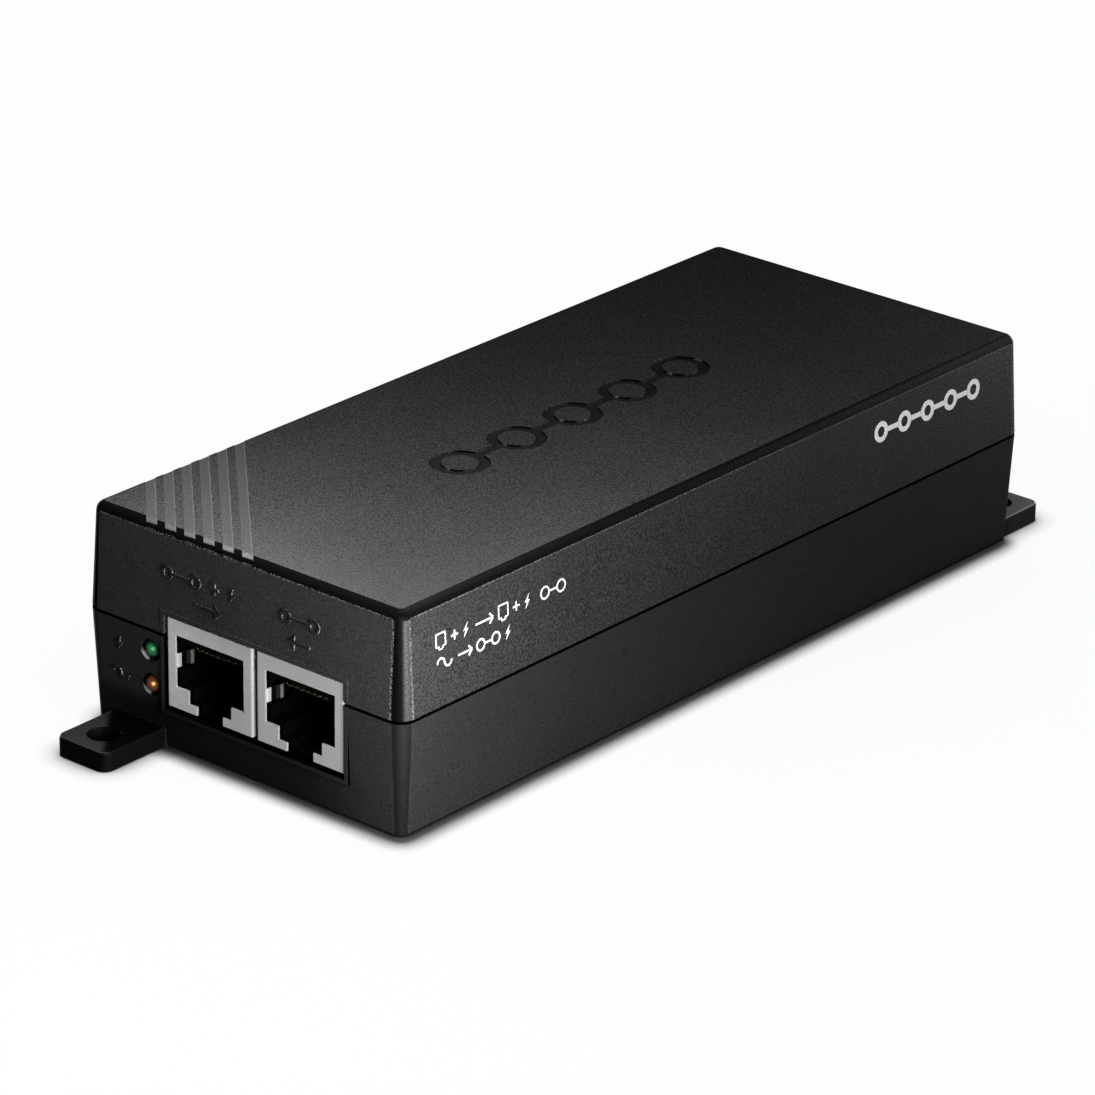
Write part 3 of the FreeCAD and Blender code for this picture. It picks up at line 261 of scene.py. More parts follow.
def edge_glint(g, coords, xyz, flatness, parts, covered):
    """Painted specks of highlight at the rounded edges, except on covered places and along the seam's left
    part.
    """
    edge = g.math("MULTIPLY", g.ramp(flatness, 0.9978, 0.9962), g.ramp(flatness, 0.972, 0.984))
    speck = g.ramp(g.noise(coords, 0.2 * MM, 2.0, 0.7), 0.48, 0.62)
    below_top = g.math("LESS_THAN", parts[2], 0.6)
    rightward = g.math("GREATER_THAN", parts[0], -0.05)
    plain = g.math("SUBTRACT", 1.0, covered)
    high = g.math("GREATER_THAN", xyz[2], GLINT_FOOT)
    near_corner = g.math("GREATER_THAN", xyz[0], GLINT_RIGHT)
    return both(g, edge, speck, below_top, rightward, plain, either(g, high, near_corner))


def cover_finish(g, grain, smooth, flat, parts, fore):
    """The cover's roughness and relief: coarsest on the long walls, slight on smooth places and in front."""
    sidelong = g.math("ABSOLUTE", parts[0])
    fine = g.ramp(grain, 0.36, 0.64, 0.48, 0.72)
    coarse = g.ramp(grain, 0.36, 0.64, 0.41, 0.80)
    rough = g.blend_value(g.ramp(sidelong, 0.8, 0.95), fine, coarse)
    rough = g.math("MULTIPLY", rough, g.ramp(smooth, 0.0, 1.0, 1.0, 0.8))
    rough = g.blend_value(flat, g.ramp(parts[0], 0.1, 0.3, 0.95, 0.6), rough)
    relief = both(g, grain, g.ramp(smooth, 0.0, 1.0, 1.0, 0.15), g.ramp(sidelong, 0.8, 0.95, 1.2, 1.8), fore)
    return rough, relief


def cover_plastic():
    """Black moulding with a coarse eroded skin, rounded edges painted near black as a painted dark
    reflection, smooth bands painted lighter as a painted sheen, painted highlights on the bands' steps and
    along the edges, and a smooth sunk mark with a darker floor.
    """
    g = Graph("cover_plastic")
    coords, xyz = g.place()
    flatness, parts = facing(g)
    up = parts[2]
    stripe, step = stripe_masks(g, xyz)
    crown = g.ramp(up, 0.70, 0.78)
    step = g.math("MULTIPLY", step, crown)
    upright_edge = both(g, g.math("LESS_THAN", g.math("ABSOLUTE", up), 0.2), g.ramp(parts[0], 0.70, 0.93))
    sunk = sunk_mark(g, xyz, up)
    smooth = either(g, stripe, sunk)
    wall_y = g.math("MULTIPLY_ADD", xyz[2], WALL_LEAN, FRONT_Y - SEAM_Z * WALL_LEAN)
    sign = raised_sign(g, xyz, wall_y, COVER_SIGNS)
    flat = either(g, g.ramp(flatness, 0.984, 0.998), both(g, stripe, crown), step, upright_edge, sign)

    grain = g.noise(coords, 0.33 * MM, 3.0, 0.65)
    cloud = g.noise(coords, 14 * MM, 3.0)
    fore = g.ramp(parts[1], -0.95, -0.8, 0.45, 1.0)
    depth = g.math("MULTIPLY", g.ramp(smooth, 0.0, 1.0, COVER_GRAIN, SMOOTH_GRAIN), fore)
    middle = g.ramp(cloud, 0.3, 0.7, *GREY_SPREAD)
    tone = g.math("MULTIPLY_ADD", g.math("SUBTRACT", grain, 0.5), depth, middle)
    skin = g.blend(tone, (0.0050, 0.0050, 0.0052), (0.0190, 0.0190, 0.0196))
    # The smooth bands are painted lighter than the skin around them: a painted sheen.
    skin = g.blend(stripe, skin, g.blend(tone, (0.023, 0.023, 0.0235), (0.034, 0.034, 0.0347)))
    skin = g.blend(sunk, skin, (0.004, 0.004, 0.0042))
    skin = sign_tone(g, sign, parts, coords, skin)
    # The rounded edges are painted near black: a painted dark reflection.
    skin = g.blend(flat, EDGE_PAINTED_DARK, skin)
    # A painted highlight along each band's step.
    skin = g.blend(step, skin, STEP_HIGHLIGHT_GREY)
    glint = edge_glint(g, coords, xyz, flatness, parts, either(g, sign, stripe))
    # Painted specks of highlight along the edges.
    skin = g.blend(g.math("MULTIPLY", glint, 0.3), skin, EDGE_GLINT)

    rough, relief = cover_finish(g, grain, smooth, flat, parts, fore)
    normal = g.bump(relief, 0.09 * MM, 0.7, g.rounded(0.06 * MM))
    # Metallic where the edges are painted dark, so that no highlight shows on them.
    painted_dark = g.math("MULTIPLY", g.math("SUBTRACT", 0.95, flat, clamp=True), g.math("SUBTRACT", 1.0, glint))
    return g.surface(Base_Color=skin, Roughness=rough, Metallic=painted_dark, Normal=normal, Specular_IOR_Level=0.4)


def axis_distance(g, xyz, lamp):
    """The distance from a lamp's own axis, which runs along Y."""
    dx = g.math("SUBTRACT", xyz[0], lamp.x)
    dz = g.math("SUBTRACT", xyz[2], lamp.z)
    return g.math("SQRT", g.math("ADD", g.math("MULTIPLY", dx, dx), g.math("MULTIPLY", dz, dz)))


def lit_rim(g, xyz, parts, lamp):
    """1 on the part of a lamp hole's countersink that faces up and to the right, where a highlight is
    painted.
    """
    near = g.math("LESS_THAN", axis_distance(g, xyz, lamp), COUNTERSINK)
    slanted = g.math("LESS_THAN", parts[1], -0.3)
    sloped = g.math("GREATER_THAN", parts[1], -0.97)
    rightward = g.ramp(parts[0], 0.15, 0.35)
    upward = g.ramp(parts[2], 0.15, 0.45)
    return both(g, near, slanted, sloped, rightward, upward)


def jack_reveal(g, xyz, parts):
    """1 on the narrow slanted rim of the window round the jacks, where shade is painted."""
    sloped = g.math("GREATER_THAN", parts[1], -0.97)
    near = g.math("LESS_THAN", xyz[1], FRONT_Y + 3 * MM)
    left = g.math("GREATER_THAN", xyz[0], SHIELDS_LOW.x - 0.9 * MM)
    right = g.math("LESS_THAN", xyz[0], SHIELDS_HIGH.x + 1.3 * MM)
    above = g.math("GREATER_THAN", xyz[2], SHIELDS_LOW.z - 1.3 * MM)
    return both(g, sloped, near, left, right, above)


def ear_masks(g, xyz, parts):
    """The front ear's top, the rear ear's top and the front ear's upright sides."""
    outside = g.math("GREATER_THAN", g.math("ABSOLUTE", xyz[1]), EAR_START)
    ear = both(g, outside, g.math("LESS_THAN", xyz[2], EAR_TOP))
    on_top = g.math("GREATER_THAN", parts[2], 0.8)
    upright = g.math("SUBTRACT", 1.0, on_top)
    front = g.math("LESS_THAN", xyz[1], 0.0)
    rear = g.math("GREATER_THAN", xyz[1], 0.0)
    return both(g, ear, on_top, front), both(g, ear, on_top, rear), both(g, ear, upright, front)


def base_plastic():
    """Black moulding with a finer skin and edges painted dark. Shade is painted at its seam, window rim,
    foot, upright corners and front ear, highlights at its lamp holes and a sheen on its ear tops.
    """
    g = Graph("base_plastic")
    coords, xyz = g.place()
    flatness, parts = facing(g)
    flat = g.ramp(flatness, 0.955, 0.993)
    grain = g.noise(coords, 0.28 * MM, 3.0, 0.6)
    cloud = g.noise(coords, 18 * MM, 3.0)
    middle = g.ramp(cloud, 0.3, 0.7, *GREY_SPREAD)
    tone = g.math("MULTIPLY_ADD", g.math("SUBTRACT", grain, 0.5), BASE_GRAIN, middle)
    skin = g.blend(tone, (0.0060, 0.0060, 0.0062), (0.0130, 0.0130, 0.0133))
    # The rounded edges are painted near black: a painted dark reflection.
    skin = g.blend(flat, BASE_EDGE_PAINTED_DARK, skin)
    wall_y = g.math("MULTIPLY_ADD", xyz[2], -DRAFT / SEAM_Z, FRONT_Y + DRAFT)
    sign = raised_sign(g, xyz, wall_y, BASE_SIGNS, BASE_SIGNS_RIGHT)
    skin = sign_tone(g, sign, parts, coords, skin)
    # A painted highlight on each lamp hole's countersink.
    for lamp in (GREEN_LAMP, AMBER_LAMP):
        skin = g.blend(lit_rim(g, xyz, parts, lamp), skin, HOLE_GLINT)
    front_ear, rear_ear, ear_side = ear_masks(g, xyz, parts)
    # The ear tops are painted lighter: a painted sheen.
    skin = g.blend(rear_ear, skin, REAR_EAR_PAINTED_SHEEN)
    skin = g.blend(front_ear, skin, FRONT_EAR_PAINTED_SHEEN)

    # Painted shade low on the front wall, below 5 to 8 mm and strongest left of 8 mm.
    foot = both(g, g.math("LESS_THAN", parts[1], -0.9), g.ramp(xyz[2], 8 * MM, 5 * MM),
                g.ramp(xyz[0], 26 * MM, 8 * MM, 0.0, 0.6))
    # Painted shade on the upright rounded corners.
    upright = g.math("LESS_THAN", g.math("ABSOLUTE", parts[2]), 0.2)
    corner = both(g, upright, g.ramp(flat, 0.0, 1.0, 0.45, 0.0))
    # Painted shade in the seam and on the jack window's rim.
    rim = either(g, g.math("GREATER_THAN", xyz[2], SEAM_Z - RIM_SHADE), jack_reveal(g, xyz, parts))
    # Painted dark on the front ear's top beyond the slanted line: a painted reflection of the dark case.
    across = g.math("MULTIPLY_ADD", xyz[0], EAR_TILT, xyz[1])
    sheltered = both(g, front_ear, g.ramp(across, EAR_SHADE - 0.5 * MM, EAR_SHADE + 1.5 * MM, 0.0, 0.9))
    # All the painted shade, with the front ear's upright sides at 0.8. It also sets metallic, so that no
    # highlight shows there.
    painted_dark = either(g, g.math("MULTIPLY", ear_side, 0.8), foot, corner, rim, sheltered)
    skin = g.blend(painted_dark, skin, SHADE_BLACK)

    rough = g.ramp(grain, 0.34, 0.66, 0.48, 0.64)
    rough = g.blend_value(either(g, front_ear, rear_ear), rough, 0.38)
    rough = g.blend_value(rim, rough, 0.95)
    normal = g.bump(grain, 0.03 * MM, 0.4, g.rounded(0.15 * MM))
    return g.surface(Base_Color=skin, Roughness=rough, Metallic=painted_dark, Normal=normal, Specular_IOR_Level=0.38)


def plain_plastic(name, dark, light, roughness, gloss=0.5, metallic=0.0, bevel=0.08 * MM):
    """Moulded plastic with a fine skin and a little change of tone."""
    g = Graph(name)
    coords, _ = g.place()
    grain = g.noise(coords, 0.3 * MM, 3.0, 0.6)
    cloud = g.noise(coords, 6 * MM, 2.0)
    tone = g.math("ADD", g.math("MULTIPLY", grain, 0.5), g.math("MULTIPLY", cloud, 0.5))
    colour = g.blend(g.ramp(tone, 0.35, 0.65), dark, light)
    rough = g.ramp(grain, 0.3, 0.7, roughness * 0.88, roughness * 1.12)
    normal = g.bump(grain, 0.02 * MM, 0.35, g.rounded(bevel))
    return g.surface(Base_Color=colour, Roughness=rough, Metallic=metallic, Normal=normal,
                     Specular_IOR_Level=gloss)


# ======== Metals ========

SHEET_BEVEL = 0.08 * MM
SHADED_SHEET = (0.30, 0.30, 0.295)
MOUTH_SHADE_BLACK = (0.01, 0.01, 0.01)


def brushed_sheet(name, dark, light, roughness, axis, metallic=1.0, tone_by_place=None):
    """Rolled sheet metal with its grain along one axis (0, 1 or 2). tone_by_place gives painted light and
    shade.
    """
    g = Graph(name)
    coords, xyz = g.place()
    stretch = [1.0, 1.0, 1.0]
    stretch[axis] = 0.06
    drawn = g.add("ShaderNodeVectorMath", {0: coords, 1: stretch}, operation="MULTIPLY").outputs[0]
    lines = g.noise(drawn, 0.12 * MM, 3.0, 0.6)
    cloud = g.noise(coords, 3 * MM, 3.0)
    tone = g.math("ADD", g.math("MULTIPLY", lines, 0.6), g.math("MULTIPLY", cloud, 0.4))
    colour = g.blend(g.ramp(tone, 0.35, 0.65), dark, light)
    if tone_by_place is not None:
        # Painted shade: greyer where tone_by_place shades the sheet, and black and metallic outside its
        # unshaded places.
        unshaded, shade = tone_by_place(g, xyz, facing(g)[1])
        colour = g.blend(shade, SHADED_SHEET, colour)
        colour = g.blend(unshaded, MOUTH_SHADE_BLACK, colour)
        metallic = g.ramp(unshaded, 0.0, 1.0, 1.0, metallic)
    rough = g.ramp(tone, 0.35, 0.65, roughness * 0.85, roughness * 1.15)
    normal = g.bump(lines, 0.008 * MM, 0.3, g.rounded(SHEET_BEVEL))
    return g.surface(Base_Color=colour, Metallic=metallic, Roughness=rough, Normal=normal)


def shield_painted_light(g, xyz, parts):
    """Where a jack shield keeps its metal colour, and how pale it is: painted light and shade.

    Its front plate and its fingers' bows keep their metal, and the rest of the mouth is painted black and
    metallic as painted shade. The plates are painted paler towards the left, and the faces that look to the
    right greyer, as painted shading.
    """
    depth = g.math("SUBTRACT", xyz[1], SHIELDS_LOW.y)
    plate = g.ramp(depth, 1.0 * MM, 0.85 * MM)
    bows = both(g, g.ramp(depth, 2.3 * MM, 2.45 * MM), g.ramp(depth, 3.2 * MM, 3.0 * MM, 0.0, 0.5))
    inside = g.math("LESS_THAN", xyz[0], SHIELDS_HIGH.x - 0.02 * MM)
    left_plate = g.ramp(xyz[0], 1 * MM, -14 * MM, 0.32, 1.0)
    right_plate = g.ramp(xyz[0], 17 * MM, 1 * MM, 0.2, 1.0)
    rightward = g.ramp(parts[0], 0.3, 0.7, 1.0, 0.1)
    return both(g, either(g, plate, bows), inside), both(g, left_plate, right_plate, rightward)


def drawn_wire(name, dark, light, roughness):
    """Plated wire or solder: small soft unevenness."""
    g = Graph(name)
    coords, _ = g.place()
    wave = g.noise(coords, 0.5 * MM, 3.0)
    colour = g.blend(g.ramp(wave, 0.35, 0.65), dark, light)
    rough = g.ramp(wave, 0.3, 0.7, roughness * 0.8, roughness * 1.2)
    normal = g.bump(wave, 0.01 * MM, 0.3, g.rounded(0.05 * MM))
    return g.surface(Base_Color=colour, Metallic=1.0, Roughness=rough, Normal=normal)


# ======== Lamps ========

CHIP_OFFSET = Vector((0.6, 0.0, 0.3)) * MM
UNLIT = 0.03


def lamp_lens(name, deep, pale, glow, light, lamp):
    """Tinted clear resin: deep at the rim, where its tint is darkened as painted shade from the lamp hole,
    and pale in the middle, with a small lit core at the chip.
    """
    g = Graph(name)
    coords, xyz = g.place()
    away = axis_distance(g, xyz, lamp)
    # The rim is painted deep as painted shade from the lamp hole.
    middle = g.ramp(away, 1.35 * MM, 0.3 * MM)
    core = g.ramp(axis_distance(g, xyz, lamp + CHIP_OFFSET), 0.50 * MM, 0.05 * MM)
    haze = g.noise(coords, 0.6 * MM, 2.0)
    colour = g.blend(g.math("MULTIPLY", middle, g.ramp(haze, 0.2, 0.8, 0.7, 1.0)), deep, pale)
    normal = g.bump(haze, 0.01 * MM, 0.15)
    return g.surface(Base_Color=colour, Roughness=0.12, Normal=normal, Coat_Weight=0.6, Coat_Roughness=0.04,
                     Emission_Color=g.blend(core, deep, glow),
                     Emission_Strength=g.ramp(core, 0.0, 1.0, UNLIT, light))


# ======== Parts inside the case ========

def circuit_board():
    """Green solder mask over tracks, with a bare edge of laminate."""
    g = Graph("board_laminate")
    coords, _ = g.place()
    tracks = g.add("ShaderNodeTexVoronoi", {"Vector": coords, "Scale": 1 / (3.2 * MM)},
                   feature="DISTANCE_TO_EDGE", distance="EUCLIDEAN").outputs["Distance"]
    line = g.ramp(tracks, 0.05, 0.09)
    haze = g.noise(coords, 2 * MM, 3.0)
    mask = g.blend(line, (0.020, 0.130, 0.055), (0.012, 0.085, 0.035))
    mask = g.blend(g.ramp(haze, 0.3, 0.7, 0.0, 0.4), mask, (0.010, 0.070, 0.030))
    _, parts = facing(g)
    side = g.math("LESS_THAN", g.math("ABSOLUTE", parts[2]), 0.5)
    colour = g.blend(side, mask, (0.36, 0.33, 0.19))
    normal = g.bump(line, 0.03 * MM, 0.4)
    return g.surface(Base_Color=colour, Roughness=g.ramp(haze, 0.3, 0.7, 0.28, 0.38), Normal=normal)


def dipped(name, dark, light):
    """A dipped coating: glossy, with slow waves."""
    g = Graph(name)
    coords, _ = g.place()
    wave = g.noise(coords, 2.5 * MM, 2.0)
    colour = g.blend(g.ramp(wave, 0.3, 0.7), dark, light)
    normal = g.bump(wave, 0.15 * MM, 0.4)
    return g.surface(Base_Color=colour, Roughness=g.ramp(wave, 0.3, 0.7, 0.2, 0.32), Normal=normal)


def sintered(name, dark, light):
    """Ferrite: dull, dark and pitted."""
    g = Graph(name)
    coords, _ = g.place()
    grain = g.noise(coords, 0.4 * MM, 4.0, 0.7)
    pits = g.noise(coords, 1.6 * MM, 2.0)
    colour = g.blend(g.ramp(g.math("ADD", grain, g.math("MULTIPLY", pits, 0.4)), 0.5, 0.9), dark, light)
    normal = g.bump(grain, 0.06 * MM, 0.5, g.rounded(0.15 * MM))
    return g.surface(Base_Color=colour, Roughness=g.ramp(grain, 0.3, 0.7, 0.55, 0.75), Normal=normal)


def can_sleeve():
    """A dark shrunk sleeve, and bare aluminium on top."""
    g = Graph("can_sleeve")
    coords, _ = g.place()
    _, parts = facing(g)
    haze = g.noise(coords, 3 * MM, 2.0)
    sleeve = g.blend(g.ramp(haze, 0.3, 0.7), (0.012, 0.016, 0.026), (0.020, 0.026, 0.040))
    top = g.math("GREATER_THAN", parts[2], 0.7)
    colour = g.blend(top, sleeve, (0.60, 0.60, 0.61))
    normal = g.bump(haze, 0.05 * MM, 0.25, g.rounded(0.2 * MM))
    rough = g.ramp(haze, 0.3, 0.7, 0.24, 0.34)
    return g.surface(Base_Color=colour, Metallic=top, Roughness=rough, Normal=normal)


def tape():
    """Yellow winding tape with fine overlap lines round the coil."""
    g = Graph("winding_tape")
    coords, xyz = g.place()
    laps = g.math("FLOORED_MODULO", xyz[2], 2.6 * MM)
    seam = g.ramp(laps, 0.0, 0.15 * MM)
    haze = g.noise(coords, 1.5 * MM, 2.0)
    tone = g.math("MULTIPLY", seam, g.ramp(haze, 0.3, 0.7, 0.8, 1.0))
    colour = g.blend(tone, (0.42, 0.30, 0.03), (0.66, 0.52, 0.07))
    normal = g.bump(seam, 0.04 * MM, 0.4)
    return g.surface(Base_Color=colour, Roughness=g.ramp(haze, 0.3, 0.7, 0.3, 0.42), Normal=normal)


def label_paper():
    """Blank silver-grey label stock with fine fibres."""
    g = Graph("label_film")
    coords, _ = g.place()
    fibre = g.noise(coords, 0.5 * MM, 4.0, 0.7)
    colour = g.blend(g.ramp(fibre, 0.3, 0.7), (0.50, 0.51, 0.52), (0.58, 0.59, 0.60))
    normal = g.bump(fibre, 0.01 * MM, 0.3, g.rounded(0.05 * MM))
    return g.surface(Base_Color=colour, Roughness=g.ramp(fibre, 0.3, 0.7, 0.38, 0.5), Normal=normal)


def pad_ink(name, dark, light):
    """Pad-printed ink between two tones of grey, slightly uneven."""
    g = Graph(name)
    coords, _ = g.place()
    patch = g.noise(coords, 0.35 * MM, 3.0, 0.6)
    colour = g.blend(g.ramp(patch, 0.3, 0.7), (dark, dark, dark), (light, light, light))
    normal = g.bump(patch, 0.01 * MM, 0.3)
    return g.surface(Base_Color=colour, Roughness=g.ramp(patch, 0.3, 0.7, 0.45, 0.6), Normal=normal)


def make_materials():
    """One material for each of the record's slots."""
    soft_black = ((0.008, 0.008, 0.008), (0.016, 0.016, 0.016))
    inlet_black = ((0.008, 0.008, 0.0085), (0.015, 0.015, 0.0155))
    nickel = ((0.58, 0.58, 0.57), (0.68, 0.68, 0.665))
    black = ((0.001, 0.001, 0.001), (0.002, 0.002, 0.002))
    green = ((0.002, 0.022, 0.008), (0.015, 0.19, 0.060), (0.45, 1.0, 0.55))
    amber = ((0.030, 0.010, 0.003), (0.15, 0.060, 0.018), (1.0, 0.50, 0.17))
    return {
        "cover_plastic": cover_plastic(),
        "base_plastic": base_plastic(),
        "label_film": label_paper(),
        "screw_steel": brushed_sheet("screw_steel", (0.42, 0.42, 0.43), (0.56, 0.56, 0.57), 0.3, 2),
        "nickel_shield": brushed_sheet("nickel_shield", *nickel, 0.45, 0, 0.35, shield_painted_light),
        # The insert is near black and metallic, so that it shows no light: painted shade in the jack mouths.
        "jack_plastic": plain_plastic("jack_plastic", *black, 0.6, 0.25, 0.9),
        "gold_contact": drawn_wire("gold_contact", (0.84, 0.68, 0.36), (0.95, 0.80, 0.50), 0.30),
        "green_lens": lamp_lens("green_lens", *green, 0.34, GREEN_LAMP),
        "amber_lens": lamp_lens("amber_lens", *amber, 1.35, AMBER_LAMP),
        "tinned_lead": drawn_wire("tinned_lead", (0.55, 0.55, 0.54), (0.72, 0.72, 0.71), 0.3),
        "holder_plastic": plain_plastic("holder_plastic", *soft_black, 0.45),
        "inlet_plastic": plain_plastic("inlet_plastic", *inlet_black, 0.42),
        "plated_brass": brushed_sheet("plated_brass", (0.60, 0.59, 0.55), (0.74, 0.72, 0.67), 0.24, 1),
        "fuse_cap": plain_plastic("fuse_cap", (0.010, 0.010, 0.010), (0.018, 0.017, 0.016), 0.28),
        "varistor_coat": dipped("varistor_coat", (0.010, 0.035, 0.18), (0.018, 0.055, 0.26)),
        "thermistor_coat": dipped("thermistor_coat", (0.008, 0.016, 0.010), (0.014, 0.026, 0.016)),
        "film_case": plain_plastic("film_case", (0.50, 0.34, 0.03), (0.62, 0.44, 0.05), 0.4, bevel=0.2 * MM),
        "disc_coat": dipped("disc_coat", (0.02, 0.08, 0.24), (0.035, 0.12, 0.34)),
        "ferrite": sintered("ferrite", (0.010, 0.010, 0.011), (0.040, 0.040, 0.042)),
        "enamelled_wire": drawn_wire("enamelled_wire", (0.36, 0.10, 0.035), (0.52, 0.17, 0.06), 0.26),
        "epoxy_case": plain_plastic("epoxy_case", (0.010, 0.010, 0.010), (0.018, 0.018, 0.018), 0.5),
        "can_sleeve": can_sleeve(),
        "winding_tape": tape(),
        "sink_aluminium": brushed_sheet("sink_aluminium", (0.58, 0.59, 0.60), (0.72, 0.73, 0.74), 0.34, 1),
        "coupler_case": plain_plastic("coupler_case", (0.62, 0.61, 0.57), (0.74, 0.73, 0.69), 0.45),
        "module_case": plain_plastic("module_case", (0.012, 0.012, 0.013), (0.020, 0.020, 0.021), 0.4),
        "chip_ceramic": sintered("chip_ceramic", (0.10, 0.06, 0.035), (0.17, 0.11, 0.07)),
        "board_laminate": circuit_board(),
    }


def dress_nodes():
    """Gives every CAD node the material of its slot."""
    materials = make_materials()
    for part in frame["record"]["subparts"]:
        mesh = frame["nodes"][part["node"]].data
        mesh.materials.clear()
        mesh.materials.append(materials[part["material_slot"]])


# ======== Printed marks ========

INK = 0.03 * MM
STROKE = 0.30


def add_plate(bm, loops, frame_matrix):
    """Adds flat plates to the mesh, one ink layer thick. loops are rings of (along, up) points in mm."""
    for loop in loops:
        low = [bm.verts.new(frame_matrix @ Vector((a * MM, u * MM, -INK / 2))) for a, u in loop]
        high = [bm.verts.new(frame_matrix @ Vector((a * MM, u * MM, INK / 2))) for a, u in loop]
        bm.faces.new(high)
        bm.faces.new(list(reversed(low)))
        for i in range(len(loop)):
            j = (i + 1) % len(loop)
            bm.faces.new((low[i], low[j], high[j], high[i]))


def bar(a0, u0, a1, u1, width=STROKE):
    """A straight stroke between two points."""
    length = math.hypot(a1 - a0, u1 - u0)
    da, du = -(u1 - u0) / length * width / 2, (a1 - a0) / length * width / 2
    return [(a0 - da, u0 - du), (a1 - da, u1 - du), (a1 + da, u1 + du), (a0 + da, u0 + du)]


def arc(a, u, radius, start, end, width=STROKE, parts=24):
    """A curved stroke, as short overlapping quads. Angles in degrees."""
    quads = []
    for i in range(parts):
        t0 = math.radians(start + (end - start) * i / parts)
        t1 = math.radians(start + (end - start) * (i + 1) / parts)
        inner, outer = radius - width / 2, radius + width / 2
        quads.append([(a + r * math.cos(t), u + r * math.sin(t)) for r, t in
                      ((outer, t0), (outer, t1), (inner, t1), (inner, t0))])
    return quads


def ring(a, u, outer, width=STROKE):
    return arc(a, u, outer - width / 2, 0, 360, width, 36)


def arrow(a, u, length, height):
    head = height * 0.5
    tip = a + length
    return [bar(a, u, tip - 0.1, u), bar(tip - head, u + head, tip, u), bar(tip - head, u - head, tip, u)]


def bolt(a, u, height):
    half = height / 2
    return [[(a + 0.45, u + half), (a - 0.55, u - 0.12), (a - 0.02, u - 0.12)],
            [(a - 0.45, u - half), (a + 0.55, u + 0.12), (a + 0.02, u + 0.12)]]


def socket(a, u, size):
    """A jack seen from the front: a square with a notch in its foot."""
    h, n = size / 2, size * 0.2
    points = [(-h, h), (h, h), (h, -h), (n, -h), (n, -h - n), (-n, -h - n), (-n, -h), (-h, -h), (-h, h)]
    shifted = [(a + pa, u + pu + n / 2) for pa, pu in points]
    return [bar(*p, *q, STROKE * 0.85) for p, q in zip(shifted, shifted[1:])]


def plus(a, u, size):
    h = size / 2
    return [bar(a - h, u, a + h, u), bar(a, u - h, a, u + h)]


def wave(a, u, radius):
    return arc(a - radius, u, radius, 0, 180, parts=12) + arc(a + radius, u, radius, 180, 360, parts=12)


def feature_rows():
    """Two rows of small pictograms: data and mains go in, data with power comes out."""
    upper, lower = 27.15, 23.95
    row = socket(-61.7, upper, 1.9) + plus(-58.9, upper, 1.4) + bolt(-56.6, upper, 2.2)
    row += arrow(-54.6, upper, 3.6, 1.5) + socket(-48.9, upper, 1.9) + plus(-46.2, upper, 1.4)
    row += bolt(-43.9, upper, 2.2) + ring(-40.2, upper, 1.0) + ring(-36.8, upper, 1.0)
    row += [bar(-39.25, upper, -37.75, upper)]
    row += wave(-61.1, lower, 0.72) + arrow(-58.3, lower, 2.8, 1.4)
    row += ring(-53.7, lower, 0.95) + ring(-50.6, lower, 0.95) + [bar(-52.8, lower, -51.5, lower)]
    return row + bolt(-48.1, lower, 2.1)


def chain_row():
    """A bold row of rings joined by bars, like the sunk mark on top."""
    outer, width, count = 1.6, 0.78, 5
    first, last, up = 35.4, 57.9, 27.9
    centres = [first + (last - first) * i / (count - 1) for i in range(count)]
    row = []
    for centre in centres:
        row += ring(centre, up, outer, width)
    for left, right in zip(centres, centres[1:]):
        row.append(bar(left + outer - 0.1, up, right - outer + 0.1, up, width))
    return row


def printed_marks(name, loops):
    """Ink on the cover's right wall. along runs towards the rear and up runs up the leaning wall."""
    normal = Vector((1.0, 0.0, WALL_LEAN)).normalized()
    along = Vector((0.0, 1.0, 0.0))
    up = normal.cross(along)
    foot = Vector((SIDE_X + SEAM_Z * WALL_LEAN, 0.0, 0.0)) + normal * (INK * 0.5)
    matrix = Matrix((along, up, normal)).transposed().to_4x4()
    matrix.translation = foot
    bm = bmesh.new()
    add_plate(bm, loops, matrix)
    bmesh.ops.recalc_face_normals(bm, faces=bm.faces)
    mesh = bpy.data.meshes.new(name)
    bm.to_mesh(mesh)
    bm.free()
    piece = bpy.data.objects.new(name, mesh)
    bpy.context.scene.collection.objects.link(piece)
    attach(piece, "injector")
    return piece


def add_marks():
    rows = printed_marks("print_feature_rows", feature_rows())
    rows.data.materials.append(pad_ink("grey_ink", 0.40, 0.54))
    chain = printed_marks("print_chain", chain_row())
    chain.data.materials.append(pad_ink("white_ink", 0.86, 0.97))
    return [rows, chain]


# ======== Stage ========

FLOOR_SIZE = 6.0
FLOOR_DROP = 0.02 * MM
CONTACT_SHADE = 4 * MM
CONTACT_SHADOW_GREY = (0.16, 0.16, 0.16)
BOUNCE_GREY = (0.08, 0.08, 0.08)
DOME, CARDS, BACKDROP = 0.16, 0.02, 0.98


